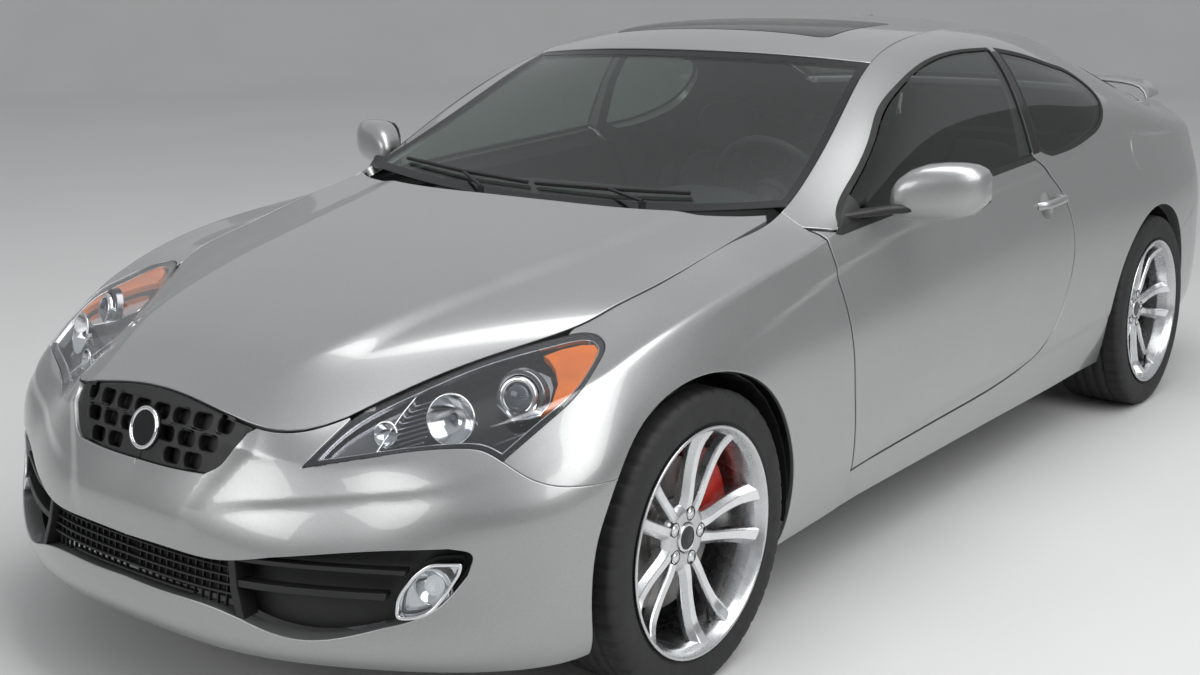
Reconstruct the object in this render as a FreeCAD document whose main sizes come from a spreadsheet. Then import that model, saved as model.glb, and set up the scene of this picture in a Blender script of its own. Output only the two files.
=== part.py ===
import FreeCAD, Part
import Sketcher
import math
import os
from FreeCAD import Vector

# A two-door coupe car, in millimetres: +Z up, the nose towards -Y, the car's left side at +X.
# The origin is on the ground, under the middle of the car.

doc = FreeCAD.newDocument("coupe")

# Driving sizes

# columns: name, value in mm (or a count) or a formula on the sizes above it, what it is
SIZES = (
    ("wheelbase", 2820, "front axle to rear axle"),
    ("front_overhang", 823, "front axle to the nose"),
    ("rear_overhang", 985, "rear axle to the tail"),
    ("body_width", 1865, "across the rear haunches, without mirrors"),
    ("body_height", 1385, "ground to the top of the roof"),
    ("ground_clearance", 205, "ground to the lower edge of the sill"),
    ("panel", 8, "thickness of a fender skin"),
    ("wall", 60, "thickness of a body side, its inner panel included"),
    ("pillar_wall", 26, "thickness of the windshield pillars and roof rails"),
    ("bumper_wall", 40, "thickness of a bumper cover with its foam"),
    ("hood_wall", 24, "thickness of the hood with its inner frame"),
    ("roof_wall", 30, "thickness of the roof with its lining"),
    ("deck_wall", 24, "thickness of the trunk lid with its inner frame"),
    ("door_skin", 28, "thickness of the outer layer of a door"),
    ("door_depth", 100, "thickness of the whole door"),
    ("glass", 5, "thickness of the glazing"),
    ("lamp_depth", 60, "depth of a lamp"),
    ("seam", 0.4, "gap between panels that are bolted or bonded"),
    ("shut_gap", 6, "gap round a door, the hood and the trunk lid"),
    ("seat_gap", 0.3, "gap where a piece sits on what carries it"),
    ("plate_hole", 3.2, "radius of the two holes for a number plate"),
    ("floor_plate", 6, "thickness of the floor, firewall and aprons"),
    ("sill_inner", "=body_width / 2 - 172.5", "middle of the car to the inner face of the sill"),
    ("front_track", "=body_width - 265", "between the middles of the front tyres"),
    ("rear_track", "=body_width - 250", "between the middles of the rear tyres"),
    ("front_tyre_radius", 331, "outside radius of a front tyre"),
    ("rear_tyre_radius", 339, "outside radius of a rear tyre"),
    ("front_tyre_width", 225, "width of a front tyre"),
    ("rear_tyre_width", 245, "width of a rear tyre"),
    ("bead_radius", 241, "where a tyre sits on its rim"),
    ("rim_lip_radius", 254, "outside radius of the rim's lip"),
    ("barrel_radius", 226, "inside radius of the rim's barrel"),
    ("hub_offset", 40, "middle of the tyre out to the hub's face"),
    ("spoke_pairs", 5, "twin spokes on a rim"),
    ("disc_radius", 168, "radius of a brake disc"),
    ("disc_width", 26, "thickness of a brake disc"),
    ("spindle_radius", 22, "radius of the spindle that a hub turns on"),
    ("kingpin_offset", 35, "middle of a front tyre in to its steering axis"),
    ("kingpin_radius", 9, "radius of the upper and lower steering pins"),
    ("front_arch_radius", 370, "radius of a front wheel arch"),
    ("rear_arch_radius", 382, "radius of a rear wheel arch"),
    ("liner", 4, "thickness of a wheel liner"),
    ("steering_radius", 185, "radius of the steering wheel"),
    ("steering_rim", 15, "radius of the steering wheel's rim section"),
    ("hinge_pin", 6, "radius of a door or lid hinge pin"),
    ("hinge_barrel", 11, "radius of a hinge barrel"),
    ("exhaust_pipe", 30, "radius of an exhaust pipe"),
    ("tailpipe", 44, "radius of a tailpipe tip"),
)

sheet = doc.addObject("Spreadsheet::Sheet", "Sizes")
for row, (alias, value, meaning) in enumerate(SIZES, 1):
    sheet.set(f"A{row}", str(value))
    sheet.setAlias(f"A{row}", alias)
    sheet.set(f"B{row}", meaning)
doc.recompute()


def size(alias):
    """The value of a driving size."""
    return float(sheet.get(alias))


# The car that the shape tables are drawn on; sized() carries a drawn point to the car in hand

DRAWN_WHEELBASE = 2820.0
DRAWN_FRONT_OVERHANG = 823.0
DRAWN_REAR_OVERHANG = 985.0
DRAWN_WIDTH = 1865.0
DRAWN_HEIGHT = 1385.0
DRAWN_CLEARANCE = 205.0
DRAWN_FRONT_AXLE = -1490.0
DRAWN_REAR_AXLE = DRAWN_FRONT_AXLE + DRAWN_WHEELBASE

FRONT_AXLE = DRAWN_FRONT_AXLE - (size("wheelbase") - DRAWN_WHEELBASE) / 2
REAR_AXLE = FRONT_AXLE + size("wheelbase")


def sized_x(x):
    """A drawn distance from the middle of the car, on the car in hand."""
    return x * size("body_width") / DRAWN_WIDTH


def sized_y(y):
    """A drawn place along the car, on the car in hand."""
    if y < DRAWN_FRONT_AXLE:
        return FRONT_AXLE + (y - DRAWN_FRONT_AXLE) * size("front_overhang") / DRAWN_FRONT_OVERHANG
    if y > DRAWN_REAR_AXLE:
        return REAR_AXLE + (y - DRAWN_REAR_AXLE) * size("rear_overhang") / DRAWN_REAR_OVERHANG
    return FRONT_AXLE + (y - DRAWN_FRONT_AXLE) * size("wheelbase") / DRAWN_WHEELBASE


def sized_z(z):
    """A drawn height, on the car in hand."""
    share = (size("body_height") - size("ground_clearance")) / (DRAWN_HEIGHT - DRAWN_CLEARANCE)
    return size("ground_clearance") + (z - DRAWN_CLEARANCE) * share


def sized(point):
    """A drawn point, on the car in hand."""
    return Vector(sized_x(point[0]), sized_y(point[1]), sized_z(point[2]))


# Splines: natural cubics through points, as the poles of a B-spline

def spline_segments(knots, points):
    """The two inner control points of each span of the natural cubic through the points."""
    last = len(knots) - 1
    spans = [knots[i + 1] - knots[i] for i in range(last)]
    diagonal = [1.0] * (last + 1)
    right = [Vector()] * (last + 1)
    upper = [0.0] * (last + 1)
    for i in range(1, last):
        diagonal[i] = 2 * (spans[i - 1] + spans[i])
        upper[i] = spans[i]
        slope_out = (points[i + 1] - points[i]) * (1 / spans[i])
        slope_in = (points[i] - points[i - 1]) * (1 / spans[i - 1])
        right[i] = (slope_out - slope_in) * 6
    for i in range(1, last):
        factor = (spans[i - 1] if i > 1 else 0.0) / diagonal[i - 1]
        diagonal[i] -= factor * upper[i - 1]
        right[i] = right[i] - right[i - 1] * factor
    bends = [Vector()] * (last + 1)
    for i in range(last - 1, 0, -1):
        bends[i] = (right[i] - bends[i + 1] * upper[i]) * (1 / diagonal[i])
    inner = []
    for i in range(last):
        chord = points[i + 1] - points[i]
        pull = spans[i] * spans[i] / 18
        start = points[i] + chord * (1 / 3) - (bends[i] * 2 + bends[i + 1]) * pull
        end = points[i + 1] - chord * (1 / 3) - (bends[i] + bends[i + 1] * 2) * pull
        inner.append((start, end))
    return spans, inner


def spline_poles(knots, points):
    """The poles of the natural cubic through the points."""
    spans, inner = spline_segments(knots, points)
    poles = [points[0], inner[0][0]]
    for i in range(1, len(knots) - 1):
        start, end = inner[i - 1]
        poles.append(start + (end - start) * ((knots[i + 1] - knots[i - 1]) / spans[i - 1]))
    poles += [inner[-1][1], points[-1]]
    return poles


def spline_surface(rows, columns, grid):
    """The surface through grid[row][column], with the rows' and columns' numbers as its knots."""
    down = [spline_poles(rows, [line[j] for line in grid]) for j in range(len(columns))]
    poles = [spline_poles(columns, [line[i] for line in down]) for i in range(len(rows) + 2)]
    row_counts = [4] + [1] * (len(rows) - 2) + [4]
    column_counts = [4] + [1] * (len(columns) - 2) + [4]
    surface = Part.BSplineSurface()
    surface.buildFromPolesMultsKnots(poles, row_counts, column_counts, rows, columns, False, False, 3, 3)
    return surface


def split_quad(corners):
    """The two flat triangles of a four-cornered facet."""
    a, b, c, d = corners
    return [Part.Face(Part.makePolygon([a, b, c, a])), Part.Face(Part.makePolygon([a, c, d, a]))]


def solid_of(faces):
    """The solid that the faces close."""
    shell = Part.Shell(faces)
    shell.sewShape()
    solid = Part.Solid(shell)
    if solid.Volume < 0:
        solid.reverse()
    return solid


class Skin:
    """An outer surface of the body, and the slabs that lie under it."""

    def __init__(self, rows, columns, grid, outward, middle_rows=()):
        self.rows = [float(value) for value in rows]
        self.columns = [float(value) for value in columns]
        self.outer = spline_surface(self.rows, self.columns, grid)
        self.outward = outward
        self.middle_rows = middle_rows

    def normal(self, u, v):
        """The unit vector that points out of the car at (u, v)."""
        normal = self.outer.normal(u, v)
        return normal if normal.dot(self.outward(self.outer.value(u, v))) > 0 else normal * -1

    def point(self, u, v, depth):
        """The point at (u, v), the given depth under the skin."""
        spot = self.outer.value(u, v) - self.normal(u, v) * depth
        if u in self.middle_rows:
            spot.x = 0.0
        return spot

    def slab(self, rows, columns, top, bottom):
        """The solid between two depths, in flat facets with corners at the rows and columns.

        The lower depth is a number, or a function that gives it for each column.
        """
        depth = bottom if callable(bottom) else (lambda v: bottom)
        upper = [[self.point(u, v, top) for v in columns] for u in rows]
        lower = [[self.point(u, v, depth(v)) for v in columns] for u in rows]
        facets = []
        for i in range(len(rows) - 1):
            for j in range(len(columns) - 1):
                for layer in (upper, lower):
                    corners = (layer[i][j], layer[i + 1][j], layer[i + 1][j + 1], layer[i][j + 1])
                    facets += split_quad(corners)
        last_row = len(rows) - 1
        last_column = len(columns) - 1
        for j in range(last_column):
            for i in (0, last_row):
                facets += split_quad((upper[i][j], upper[i][j + 1], lower[i][j + 1], lower[i][j]))
        for i in range(last_row):
            for j in (0, last_column):
                facets += split_quad((upper[i][j], upper[i + 1][j], lower[i + 1][j], lower[i][j]))
        return solid_of(facets)


# The body side, drawn from the middle of the nose round to the middle of the tail.
# columns: distance round the car, then x, y, z of eight lines from the sill up:
# sill, crease, lower, waist, shoulder, belt, rail, ditch

SIDE_LINES = (0, 95, 185, 345, 535, 725, 1000, 1110)
SIDE_ROWS = (
    (0, (0, -2285, 200), (0, -2313, 250), (0, -2303, 335), (0, -2290, 440),
     (0, -2258, 530), (0, -2230, 610), (0, -2210, 655), (0, -2196, 682)),
    (300, (300, -2262, 197), (300, -2290, 248), (300, -2282, 335), (300, -2268, 435),
     (300, -2238, 520), (300, -2214, 582), (300, -2200, 615), (297, -2184, 642)),
    (600, (545, -2160, 192), (560, -2188, 243), (560, -2178, 330), (560, -2160, 430),
     (550, -2130, 520), (515, -2112, 580), (465, -2080, 618), (421, -2044, 655)),
    (880, (755, -2015, 190), (775, -2040, 243), (780, -2035, 330), (775, -2035, 430),
     (765, -2030, 530), (715, -1995, 625), (630, -1900, 690), (546, -1800, 738)),
    (1060, (850, -1885, 190), (872, -1900, 245), (880, -1900, 330), (880, -1895, 440),
     (872, -1885, 560), (820, -1830, 680), (745, -1740, 740), (650, -1640, 785)),
    (1270, (870, -1700, 195), (893, -1700, 250), (903, -1700, 340), (908, -1700, 450),
     (905, -1700, 590), (862, -1680, 730), (785, -1600, 788), (690, -1520, 822)),
    (1480, (878, -1490, 200), (898, -1490, 255), (912, -1490, 350), (922, -1490, 480),
     (925, -1490, 630), (882, -1490, 780), (805, -1440, 828), (706, -1380, 850)),
    (1850, (872, -1120, 205), (892, -1120, 260), (908, -1120, 360), (918, -1120, 500),
     (915, -1120, 680), (874, -1120, 835), (812, -1110, 882), (722, -1090, 912)),
    (2110, (862, -860, 205), (884, -860, 270), (902, -860, 370), (912, -860, 520),
     (908, -860, 700), (860, -860, 875), (802, -872, 920), (728, -905, 950)),
    (2470, (858, -500, 205), (880, -500, 290), (900, -500, 380), (912, -500, 530),
     (908, -500, 720), (858, -500, 922), (755, -500, 1108), (660, -510, 1130)),
    (2820, (857, -150, 205), (878, -150, 300), (896, -150, 390), (912, -150, 540),
     (908, -150, 740), (860, -150, 940), (698, -150, 1256), (590, -170, 1290)),
    (3170, (857, 200, 205), (878, 200, 300), (896, 200, 392), (912, 200, 545),
     (909, 200, 750), (860, 200, 958), (672, 200, 1312), (562, 200, 1350)),
    (3570, (860, 600, 207), (882, 600, 305), (900, 600, 395), (916, 600, 560),
     (914, 600, 765), (866, 600, 978), (682, 600, 1295), (560, 600, 1350)),
    (3970, (868, 1000, 215), (895, 1000, 300), (912, 1000, 400), (926, 1000, 560),
     (927, 1000, 765), (880, 1000, 985), (722, 1000, 1205), (575, 1000, 1300)),
    (4300, (878, 1330, 215), (905, 1330, 300), (920, 1330, 400), (932, 1330, 560),
     (932, 1330, 760), (885, 1330, 950), (770, 1330, 1105), (615, 1330, 1195)),
    (4670, (862, 1700, 225), (890, 1700, 300), (905, 1700, 400), (915, 1700, 560),
     (914, 1700, 750), (872, 1700, 915), (775, 1700, 1025), (665, 1700, 1080)),
    (5020, (800, 2030, 235), (830, 2045, 300), (845, 2050, 400), (850, 2050, 560),
     (845, 2040, 740), (812, 2030, 890), (752, 2020, 980), (675, 2010, 1030)),
    (5290, (640, 2215, 240), (665, 2240, 300), (680, 2250, 400), (685, 2250, 560),
     (685, 2225, 740), (675, 2190, 890), (650, 2172, 975), (615, 2150, 1015)),
    (5600, (350, 2275, 245), (350, 2300, 300), (350, 2308, 400), (350, 2305, 560),
     (350, 2270, 740), (350, 2232, 890), (350, 2215, 975), (345, 2190, 1020)),
    (5950, (0, 2285, 245), (0, 2310, 300), (0, 2315, 400), (0, 2313, 560),
     (0, 2280, 740), (0, 2242, 890), (0, 2225, 975), (0, 2200, 1022)),
)
NOSE_MIDDLE = 0.0
TAIL_MIDDLE = 5950.0
SILL_LINE = 0.0
DITCH_LINE = 1110.0


def mirrored_row(row, middle):
    """A row of the side table as it is on the far side of the nose or the tail."""
    return (2 * middle - row[0],) + tuple((-x, y, z) for x, y, z in row[1:])


def side_skin():
    """The skin of the car's left side, carried two rows past the middle at each end."""
    rows = [mirrored_row(SIDE_ROWS[i], NOSE_MIDDLE) for i in (2, 1)]
    rows += SIDE_ROWS
    rows += [mirrored_row(SIDE_ROWS[i], TAIL_MIDDLE) for i in (-2, -3)]
    grid = [[sized(point) for point in row[1:]] for row in rows]
    return Skin([row[0] for row in rows], SIDE_LINES, grid, lambda p: Vector(p.x, p.y * 0.2, 0),
                (NOSE_MIDDLE, TAIL_MIDDLE))


SIDE = side_skin()


def ditch(station):
    """The point of the ditch line at a distance round the car."""
    return SIDE.outer.value(station, DITCH_LINE)


# The top of the car: each row runs from ditch to ditch over a point in the middle.
# columns: distance round the car of the row's ends, y and z of its middle,
# and how much of the way in y and in z it has come at its crease, CREASE of the way out

CREASE = 0.7
HOOD_ROWS = (
    (600, -2196, 682, 0.92, -0.48),
    (880, -2010, 762, 0.72, 0.45),
    (1060, -1860, 803, 0.66, 0.60),
    (1270, -1690, 838, 0.62, 0.66),
    (1480, -1520, 868, 0.62, 0.68),
    (1850, -1220, 912, 0.66, 0.70),
    (2110, -1028, 940, 0.75, 0.70),
)
WINDSHIELD_ROWS = (
    (2150, -905, 915, 0.55, 0.55),
    (2260, -805, 975, 0.55, 0.55),
    (2470, -590, 1112, 0.55, 0.55),
    (2700, -355, 1252, 0.55, 0.55),
    (2790, -262, 1306, 0.55, 0.55),
)
ROOF_ROWS = (
    (2790, -262, 1306, 0.55, 0.55),
    (2900, -140, 1350, 0.55, 0.55),
    (3170, 190, 1381, 0.55, 0.55),
    (3570, 600, 1385, 0.55, 0.55),
    (3970, 1010, 1352, 0.55, 0.55),
    (4060, 1110, 1328, 0.55, 0.55),
)
REAR_WINDOW_ROWS = (
    (4060, 1110, 1328, 0.55, 0.55),
    (4300, 1380, 1232, 0.55, 0.55),
    (4600, 1670, 1114, 0.55, 0.55),
)
DECK_ROWS = (
    (4600, 1670, 1114, 0.55, 0.55),
    (4670, 1745, 1094, 0.60, 0.60),
    (5020, 2070, 1052, 0.70, 0.70),
    (5290, 2198, 1030, 0.80, 0.80),
)
TOP_COLUMNS = (-1, -CREASE, 0, CREASE, 1)


def top_skin(rows):
    """A skin of the car's top from its table."""
    grid = []
    for station, middle_y, middle_z, way_y, way_z in rows:
        edge = ditch(station)
        middle = sized((0, middle_y, middle_z))
        inward = middle - edge
        shoulder = Vector(edge.x * CREASE, edge.y + inward.y * way_y, edge.z + inward.z * way_z)
        far_shoulder = Vector(-shoulder.x, shoulder.y, shoulder.z)
        far_edge = Vector(-edge.x, edge.y, edge.z)
        grid.append([far_edge, far_shoulder, middle, shoulder, edge])
    return Skin([row[0] for row in rows], TOP_COLUMNS, grid, lambda p: Vector(0, 0, 1))


HOOD = top_skin(HOOD_ROWS)
WINDSHIELD = top_skin(WINDSHIELD_ROWS)
ROOF = top_skin(ROOF_ROWS)
REAR_WINDOW = top_skin(REAR_WINDOW_ROWS)
DECK = top_skin(DECK_ROWS)


# Cutters: upright prisms on a side view, a plan or a front view

FAR = 1200.0


def grown(points, distance):
    """A closed outline with each side moved outwards (or inwards, if negative) by a distance."""
    count = len(points)
    area = sum(points[i][0] * points[(i + 1) % count][1] - points[(i + 1) % count][0] * points[i][1]
               for i in range(count))
    turn = 1 if area > 0 else -1
    result = []
    for i in range(count):
        (ax, ay), (bx, by), (cx, cy) = points[i - 1], points[i], points[(i + 1) % count]
        first = Vector(by - ay, ax - bx, 0).normalize() * turn
        second = Vector(cy - by, bx - cx, 0).normalize() * turn
        corner = (first + second) * (distance / (1 + first.dot(second)))
        result.append((bx + corner.x, by + corner.y))
    return result


def prism(corners, reach):
    """The prism on a flat polygon."""
    return Part.Face(Part.makePolygon(list(corners) + [corners[0]])).extrude(reach)


def side_prism(outline, low=500.0, high=FAR):
    """A prism across the car, from an outline in (y, z)."""
    return prism([Vector(low, y, z) for y, z in outline], Vector(high - low, 0, 0))


def plan_prism(outline, low=-100.0, high=2000.0):
    """An upright prism, from an outline in (x, y)."""
    return prism([Vector(x, y, low) for x, y in outline], Vector(0, 0, high - low))


def front_prism(outline, low, high):
    """A prism along the car, from an outline in (x, z)."""
    return prism([Vector(x, low, z) for x, z in outline], Vector(0, high - low, 0))


def sized_side(points):
    """A drawn side-view outline, on the car in hand."""
    return [(sized_y(y), sized_z(z)) for y, z in points]


def sized_plan(points):
    """A drawn plan outline, on the car in hand."""
    return [(sized_x(x), sized_y(y)) for x, y in points]


def sized_front(points):
    """A drawn front-view outline, on the car in hand."""
    return [(sized_x(x), sized_z(z)) for x, z in points]


def tilted_prism(points, direction, near, far):
    """A prism along a direction, on the shadow that drawn points cast along it."""
    along = Vector(*direction).normalize()
    spots = [sized(point) for point in points]
    middle = spots[0]
    corners = [spot - along * along.dot(spot - middle) for spot in spots]
    corners = [corner + along * near for corner in corners]
    return prism(corners, along * (far - near))


def mirrored(shape):
    """The shape on the other side of the car."""
    return shape.mirror(Vector(), Vector(1, 0, 0))


def both(shape):
    """A shape and its mirror image."""
    return Part.makeCompound([shape, mirrored(shape)])


def box(x, y, z):
    """A block between two faces each way, from ranges in the car in hand's own millimetres."""
    return Part.makeBox(x[1] - x[0], y[1] - y[0], z[1] - z[0], Vector(x[0], y[0], z[0]))


def round_rod(start, end, radius):
    """A round bar between two points."""
    way = end - start
    return Part.makeCylinder(radius, way.Length, start, way)


def rod(start, end, radius, sides=8):
    """A bar between two points, in flat sides."""
    way = end - start
    guide = Vector(0, 0, 1) if abs(way.z) < 0.9 * way.Length else Vector(1, 0, 0)
    across = way.cross(guide).normalize()
    up = way.cross(across).normalize()
    corners = []
    for i in range(sides):
        turn = 2 * math.pi * (i + 0.5) / sides
        corners.append(start + across * (radius * math.cos(turn)) + up * (radius * math.sin(turn)))
    return prism(corners, way)


BORE_SIDES = 16


def bore_rod(start, end, pin_radius):
    """A flat-sided bore between two points that a round pin turns in, with the seat gap all round."""
    room = pin_radius + size("seat_gap")
    return rod(start, end, room / math.cos(math.pi / BORE_SIDES), BORE_SIDES)


def turned(profile, sides):
    """A ring on a closed (x, radius) profile round the X axis, in flat steps."""
    faces = []
    for i in range(sides):
        first = 2 * math.pi * i / sides
        second = 2 * math.pi * (i + 1) / sides
        for (x1, r1), (x2, r2) in zip(profile, profile[1:] + profile[:1]):
            corners = [Vector(x, r * math.cos(turn), r * math.sin(turn))
                       for x, r, turn in ((x1, r1, first), (x2, r2, first),
                                           (x2, r2, second), (x1, r1, second))]
            faces.append(Part.Face(Part.makePolygon(corners + [corners[0]])))
    return solid_of(faces)


def flat_loft(sections):
    """A solid through sections of equally many corners, in flat triangles."""
    faces = []
    for section in (sections[0], sections[-1]):
        faces.append(Part.Face(Part.makePolygon(section + [section[0]])))
    for lower, upper in zip(sections, sections[1:]):
        for i in range(len(lower)):
            j = (i + 1) % len(lower)
            faces += split_quad([lower[i], lower[j], upper[j], upper[i]])
    return solid_of(faces)


def sector(middle, inner, outer, start, end, steps):
    """A (y, z) outline between two radii and two angles in degrees."""
    turns = [math.radians(start + (end - start) * i / steps) for i in range(steps + 1)]
    points = [(middle.y + outer * math.cos(turn), middle.z + outer * math.sin(turn)) for turn in turns]
    points += [(middle.y + inner * math.cos(turn), middle.z + inner * math.sin(turn))
               for turn in reversed(turns)]
    return points


def ribbon(path, half_width):
    """The outline of a flat strip that follows a path in two dimensions."""
    left = []
    right = []
    for i in range(len(path)):
        before = Vector(*path[max(i - 1, 0)], 0)
        here = Vector(*path[i], 0)
        after = Vector(*path[min(i + 1, len(path) - 1)], 0)
        into = (here - before) if i else (after - here)
        out = (after - here) if i < len(path) - 1 else (here - before)
        first = Vector(-into.y, into.x, 0).normalize()
        second = Vector(-out.y, out.x, 0).normalize()
        step = (first + second) * (half_width / (1 + first.dot(second)))
        left.append((here.x + step.x, here.y + step.y))
        right.append((here.x - step.x, here.y - step.y))
    return left + right[::-1]


nodes = []


def named(label, piece):
    """Keep an object of the document as a named piece of the car."""
    piece.Label = label
    nodes.append(piece)
    return piece


def node(label, shape):
    """Keep a shape as a named piece of the car."""
    piece = doc.addObject("Part::Feature", label)
    piece.Shape = shape
    return named(label, piece)


def mirror_object(name, source):
    """An object that mirrors another to the far side of the car."""
    twin = doc.addObject("Part::Mirroring", name)
    twin.Source = source
    twin.Base = Vector()
    twin.Normal = Vector(1, 0, 0)
    return twin


def pair(label, shape):
    """Keep a shape as the left piece, and its mirror image as the right one."""
    left = node(f"{label}_left", shape)
    named(f"{label}_right", mirror_object(f"{label}_right", left))


# Objects whose sizes are bound to the sheet's cells

FRONT_AXLE_CELLS = f"({DRAWN_FRONT_AXLE} - (Sizes.wheelbase - {DRAWN_WHEELBASE}) / 2)"
REAR_AXLE_CELLS = f"({FRONT_AXLE_CELLS} + Sizes.wheelbase)"


def x_cells(x):
    """sized_x as an expression."""
    return f"({x}) * Sizes.body_width / {DRAWN_WIDTH}"


def y_cells(y):
    """sized_y as an expression."""
    axle, drawn_axle, share = FRONT_AXLE_CELLS, DRAWN_FRONT_AXLE, f"Sizes.wheelbase / {DRAWN_WHEELBASE}"
    if y < DRAWN_FRONT_AXLE:
        share = f"Sizes.front_overhang / {DRAWN_FRONT_OVERHANG}"
    if y > DRAWN_REAR_AXLE:
        axle, drawn_axle = REAR_AXLE_CELLS, DRAWN_REAR_AXLE
        share = f"Sizes.rear_overhang / {DRAWN_REAR_OVERHANG}"
    return f"{axle} + ({y - drawn_axle}) * {share}"


def z_cells(z):
    """sized_z as an expression."""
    share = f"(Sizes.body_height - Sizes.ground_clearance) / {DRAWN_HEIGHT - DRAWN_CLEARANCE}"
    return f"Sizes.ground_clearance + ({z - DRAWN_CLEARANCE}) * {share}"


def bind(thing, **expressions):
    """Bind properties to expressions; a double underscore stands for a dot."""
    for name, expression in expressions.items():
        thing.setExpression(name.replace("__", "."), str(expression))
    return thing


def bind_place(thing, x, y, z):
    """Bind the place of an object."""
    return bind(thing, Placement__Base__x=x, Placement__Base__y=y, Placement__Base__z=z)


def bound_box(name, x, y, z):
    """A Part box between two expressions each way."""
    block = doc.addObject("Part::Box", name)
    bind_place(block, x[0], y[0], z[0])
    length, width, height = (f"({high}) - ({low})" for low, high in (x, y, z))
    return bind(block, Length=length, Width=width, Height=height)


def fused(name, pieces):
    """The Part fusion of objects."""
    whole = doc.addObject("Part::MultiFuse", name)
    whole.Shapes = pieces
    whole.Refine = True
    return whole


START_RADIUS = 100.0


def drawn_sketch(body, name, corners, turn):
    """A closed polygon in a sketch, each corner bound to a pair of expressions."""
    sketch = body.newObject("Sketcher::SketchObject", name)
    sketch.Placement = FreeCAD.Placement(Vector(), turn)
    count = len(corners)
    # The lines start as a round polygon, which the constraints then pull to its corners
    start = [Vector(START_RADIUS * math.cos(2 * math.pi * i / count),
                    START_RADIUS * math.sin(2 * math.pi * i / count), 0) for i in range(count)]
    for i in range(count):
        sketch.addGeometry(Part.LineSegment(start[i], start[(i + 1) % count]), False)
    for i in range(count):
        sketch.addConstraint(Sketcher.Constraint("Coincident", i, 2, (i + 1) % count, 1))
    for i, (across, up) in enumerate(corners):
        for kind, value, expression in (("DistanceX", start[i].x, across), ("DistanceY", start[i].y, up)):
            index = sketch.addConstraint(Sketcher.Constraint(kind, i, 1, value))
            sketch.setExpression(f"Constraints[{index}]", str(expression))
    return sketch


# Turns of a sketch's plane: across the car, and along an axle with the radius upward
SIDE_TURN = FreeCAD.Rotation(Vector(1, 1, 1), 120)
AXLE_TURN = FreeCAD.Rotation(Vector(1, 0, 0), 90)


def padded_body(name, pads):
    """A body of pads across the car, each a side-view outline between two distances from the middle."""
    body = doc.addObject("PartDesign::Body", name)
    for number, (outline, low, high) in enumerate(pads):
        corners = [(y_cells(y), z_cells(z)) for y, z in outline]
        sketch = drawn_sketch(body, f"{name}_outline_{number}", corners, SIDE_TURN)
        bind(sketch, Placement__Base__x=x_cells(low))
        pad = body.newObject("PartDesign::Pad", f"{name}_pad_{number}")
        pad.Profile = sketch
        bind(pad, Length=x_cells(high - low))
    return body


def turned_body(name, profile, middle):
    """A body turned round an axle: a profile of (along the axle, radius) expressions about a middle."""
    body = doc.addObject("PartDesign::Body", name)
    sketch = drawn_sketch(body, f"{name}_profile", profile, AXLE_TURN)
    bind_place(sketch, *middle)
    ring = body.newObject("PartDesign::Revolution", f"{name}_ring")
    ring.Profile = sketch
    ring.ReferenceAxis = (sketch, ["H_Axis"])
    ring.Angle = 360
    return body


# Lines that more than one panel is cut on, drawn as (y, z) from the side

DOOR_OUTLINE = (
    (-886, 919), (-807, 305), (-223, 314), (193, 334), (382, 377), (480, 442), (543, 543),
    (578, 666), (555, 780), (503, 865), (440, 925), (354, 979), (0, 960), (-826, 911),
)
DOOR_WINDOW = (
    (-826, 911), (0, 960), (354, 979), (372, 1296), (104, 1296), (-83, 1271), (-249, 1225),
    (-389, 1168), (-506, 1100), (-653, 1014), (-777, 944),
)
QUARTER_WINDOW = (
    (412, 996), (491, 975), (656, 985), (841, 1017), (935, 1058), (975, 1114), (936, 1172),
    (781, 1226), (551, 1274), (418, 1292),
)
FENDER_REAR = ((-807, 305), (-886, 919))
BUMPER_LINE = ((-2032, 640), (-1950, 578), (-1880, 554), (-1780, 551))
LAMP_OUTLINE = (
    (408, -2169, 577), (425, -2048, 651), (477, -1912, 701), (546, -1786, 743), (626, -1683, 772),
    (663, -1644, 784), (717, -1621, 788), (755, -1639, 776), (787, -1700, 753), (810, -1791, 716),
    (794, -1876, 667), (763, -1973, 608), (721, -1989, 627), (686, -2008, 629), (605, -2049, 619),
    (504, -2100, 597),
)
LAMP_AXIS = (0.55, -0.72, 0.42)
GRILLE_OUTLINE = (
    (0, 671), (90, 669), (172, 665), (250, 650), (289, 641), (281, 621), (245, 565), (209, 546),
    (100, 541), (0, 540),
)
INTAKE_OUTLINE = ((0, 387), (160, 389), (292, 392), (284, 352), (300, 290), (123, 300), (0, 302))
POCKET_OUTLINE = (
    (308, -2273, 396), (341, -2280, 290), (460, -2237, 258), (610, -2158, 293), (687, -2106, 325),
    (747, -2057, 411), (758, -2050, 440), (727, -2071, 452), (598, -2139, 440), (387, -2245, 410),
)
FOG_LAMP_OUTLINE = (
    (630, -2144, 309), (629, -2137, 353), (656, -2116, 398), (683, -2099, 422), (738, -2063, 424),
    (735, -2066, 403), (710, -2086, 353), (690, -2103, 322), (659, -2127, 309),
)
POCKET_AXIS = (0.45, -0.89, 0.0)
TAIL_LAMP_OUTLINE = ((2420, 800), (1935, 800), (1900, 870), (1990, 925), (2420, 925))
REAR_BUMPER_LINE = ((1700, 600), (1880, 660), (2100, 715), (2420, 715))

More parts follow.
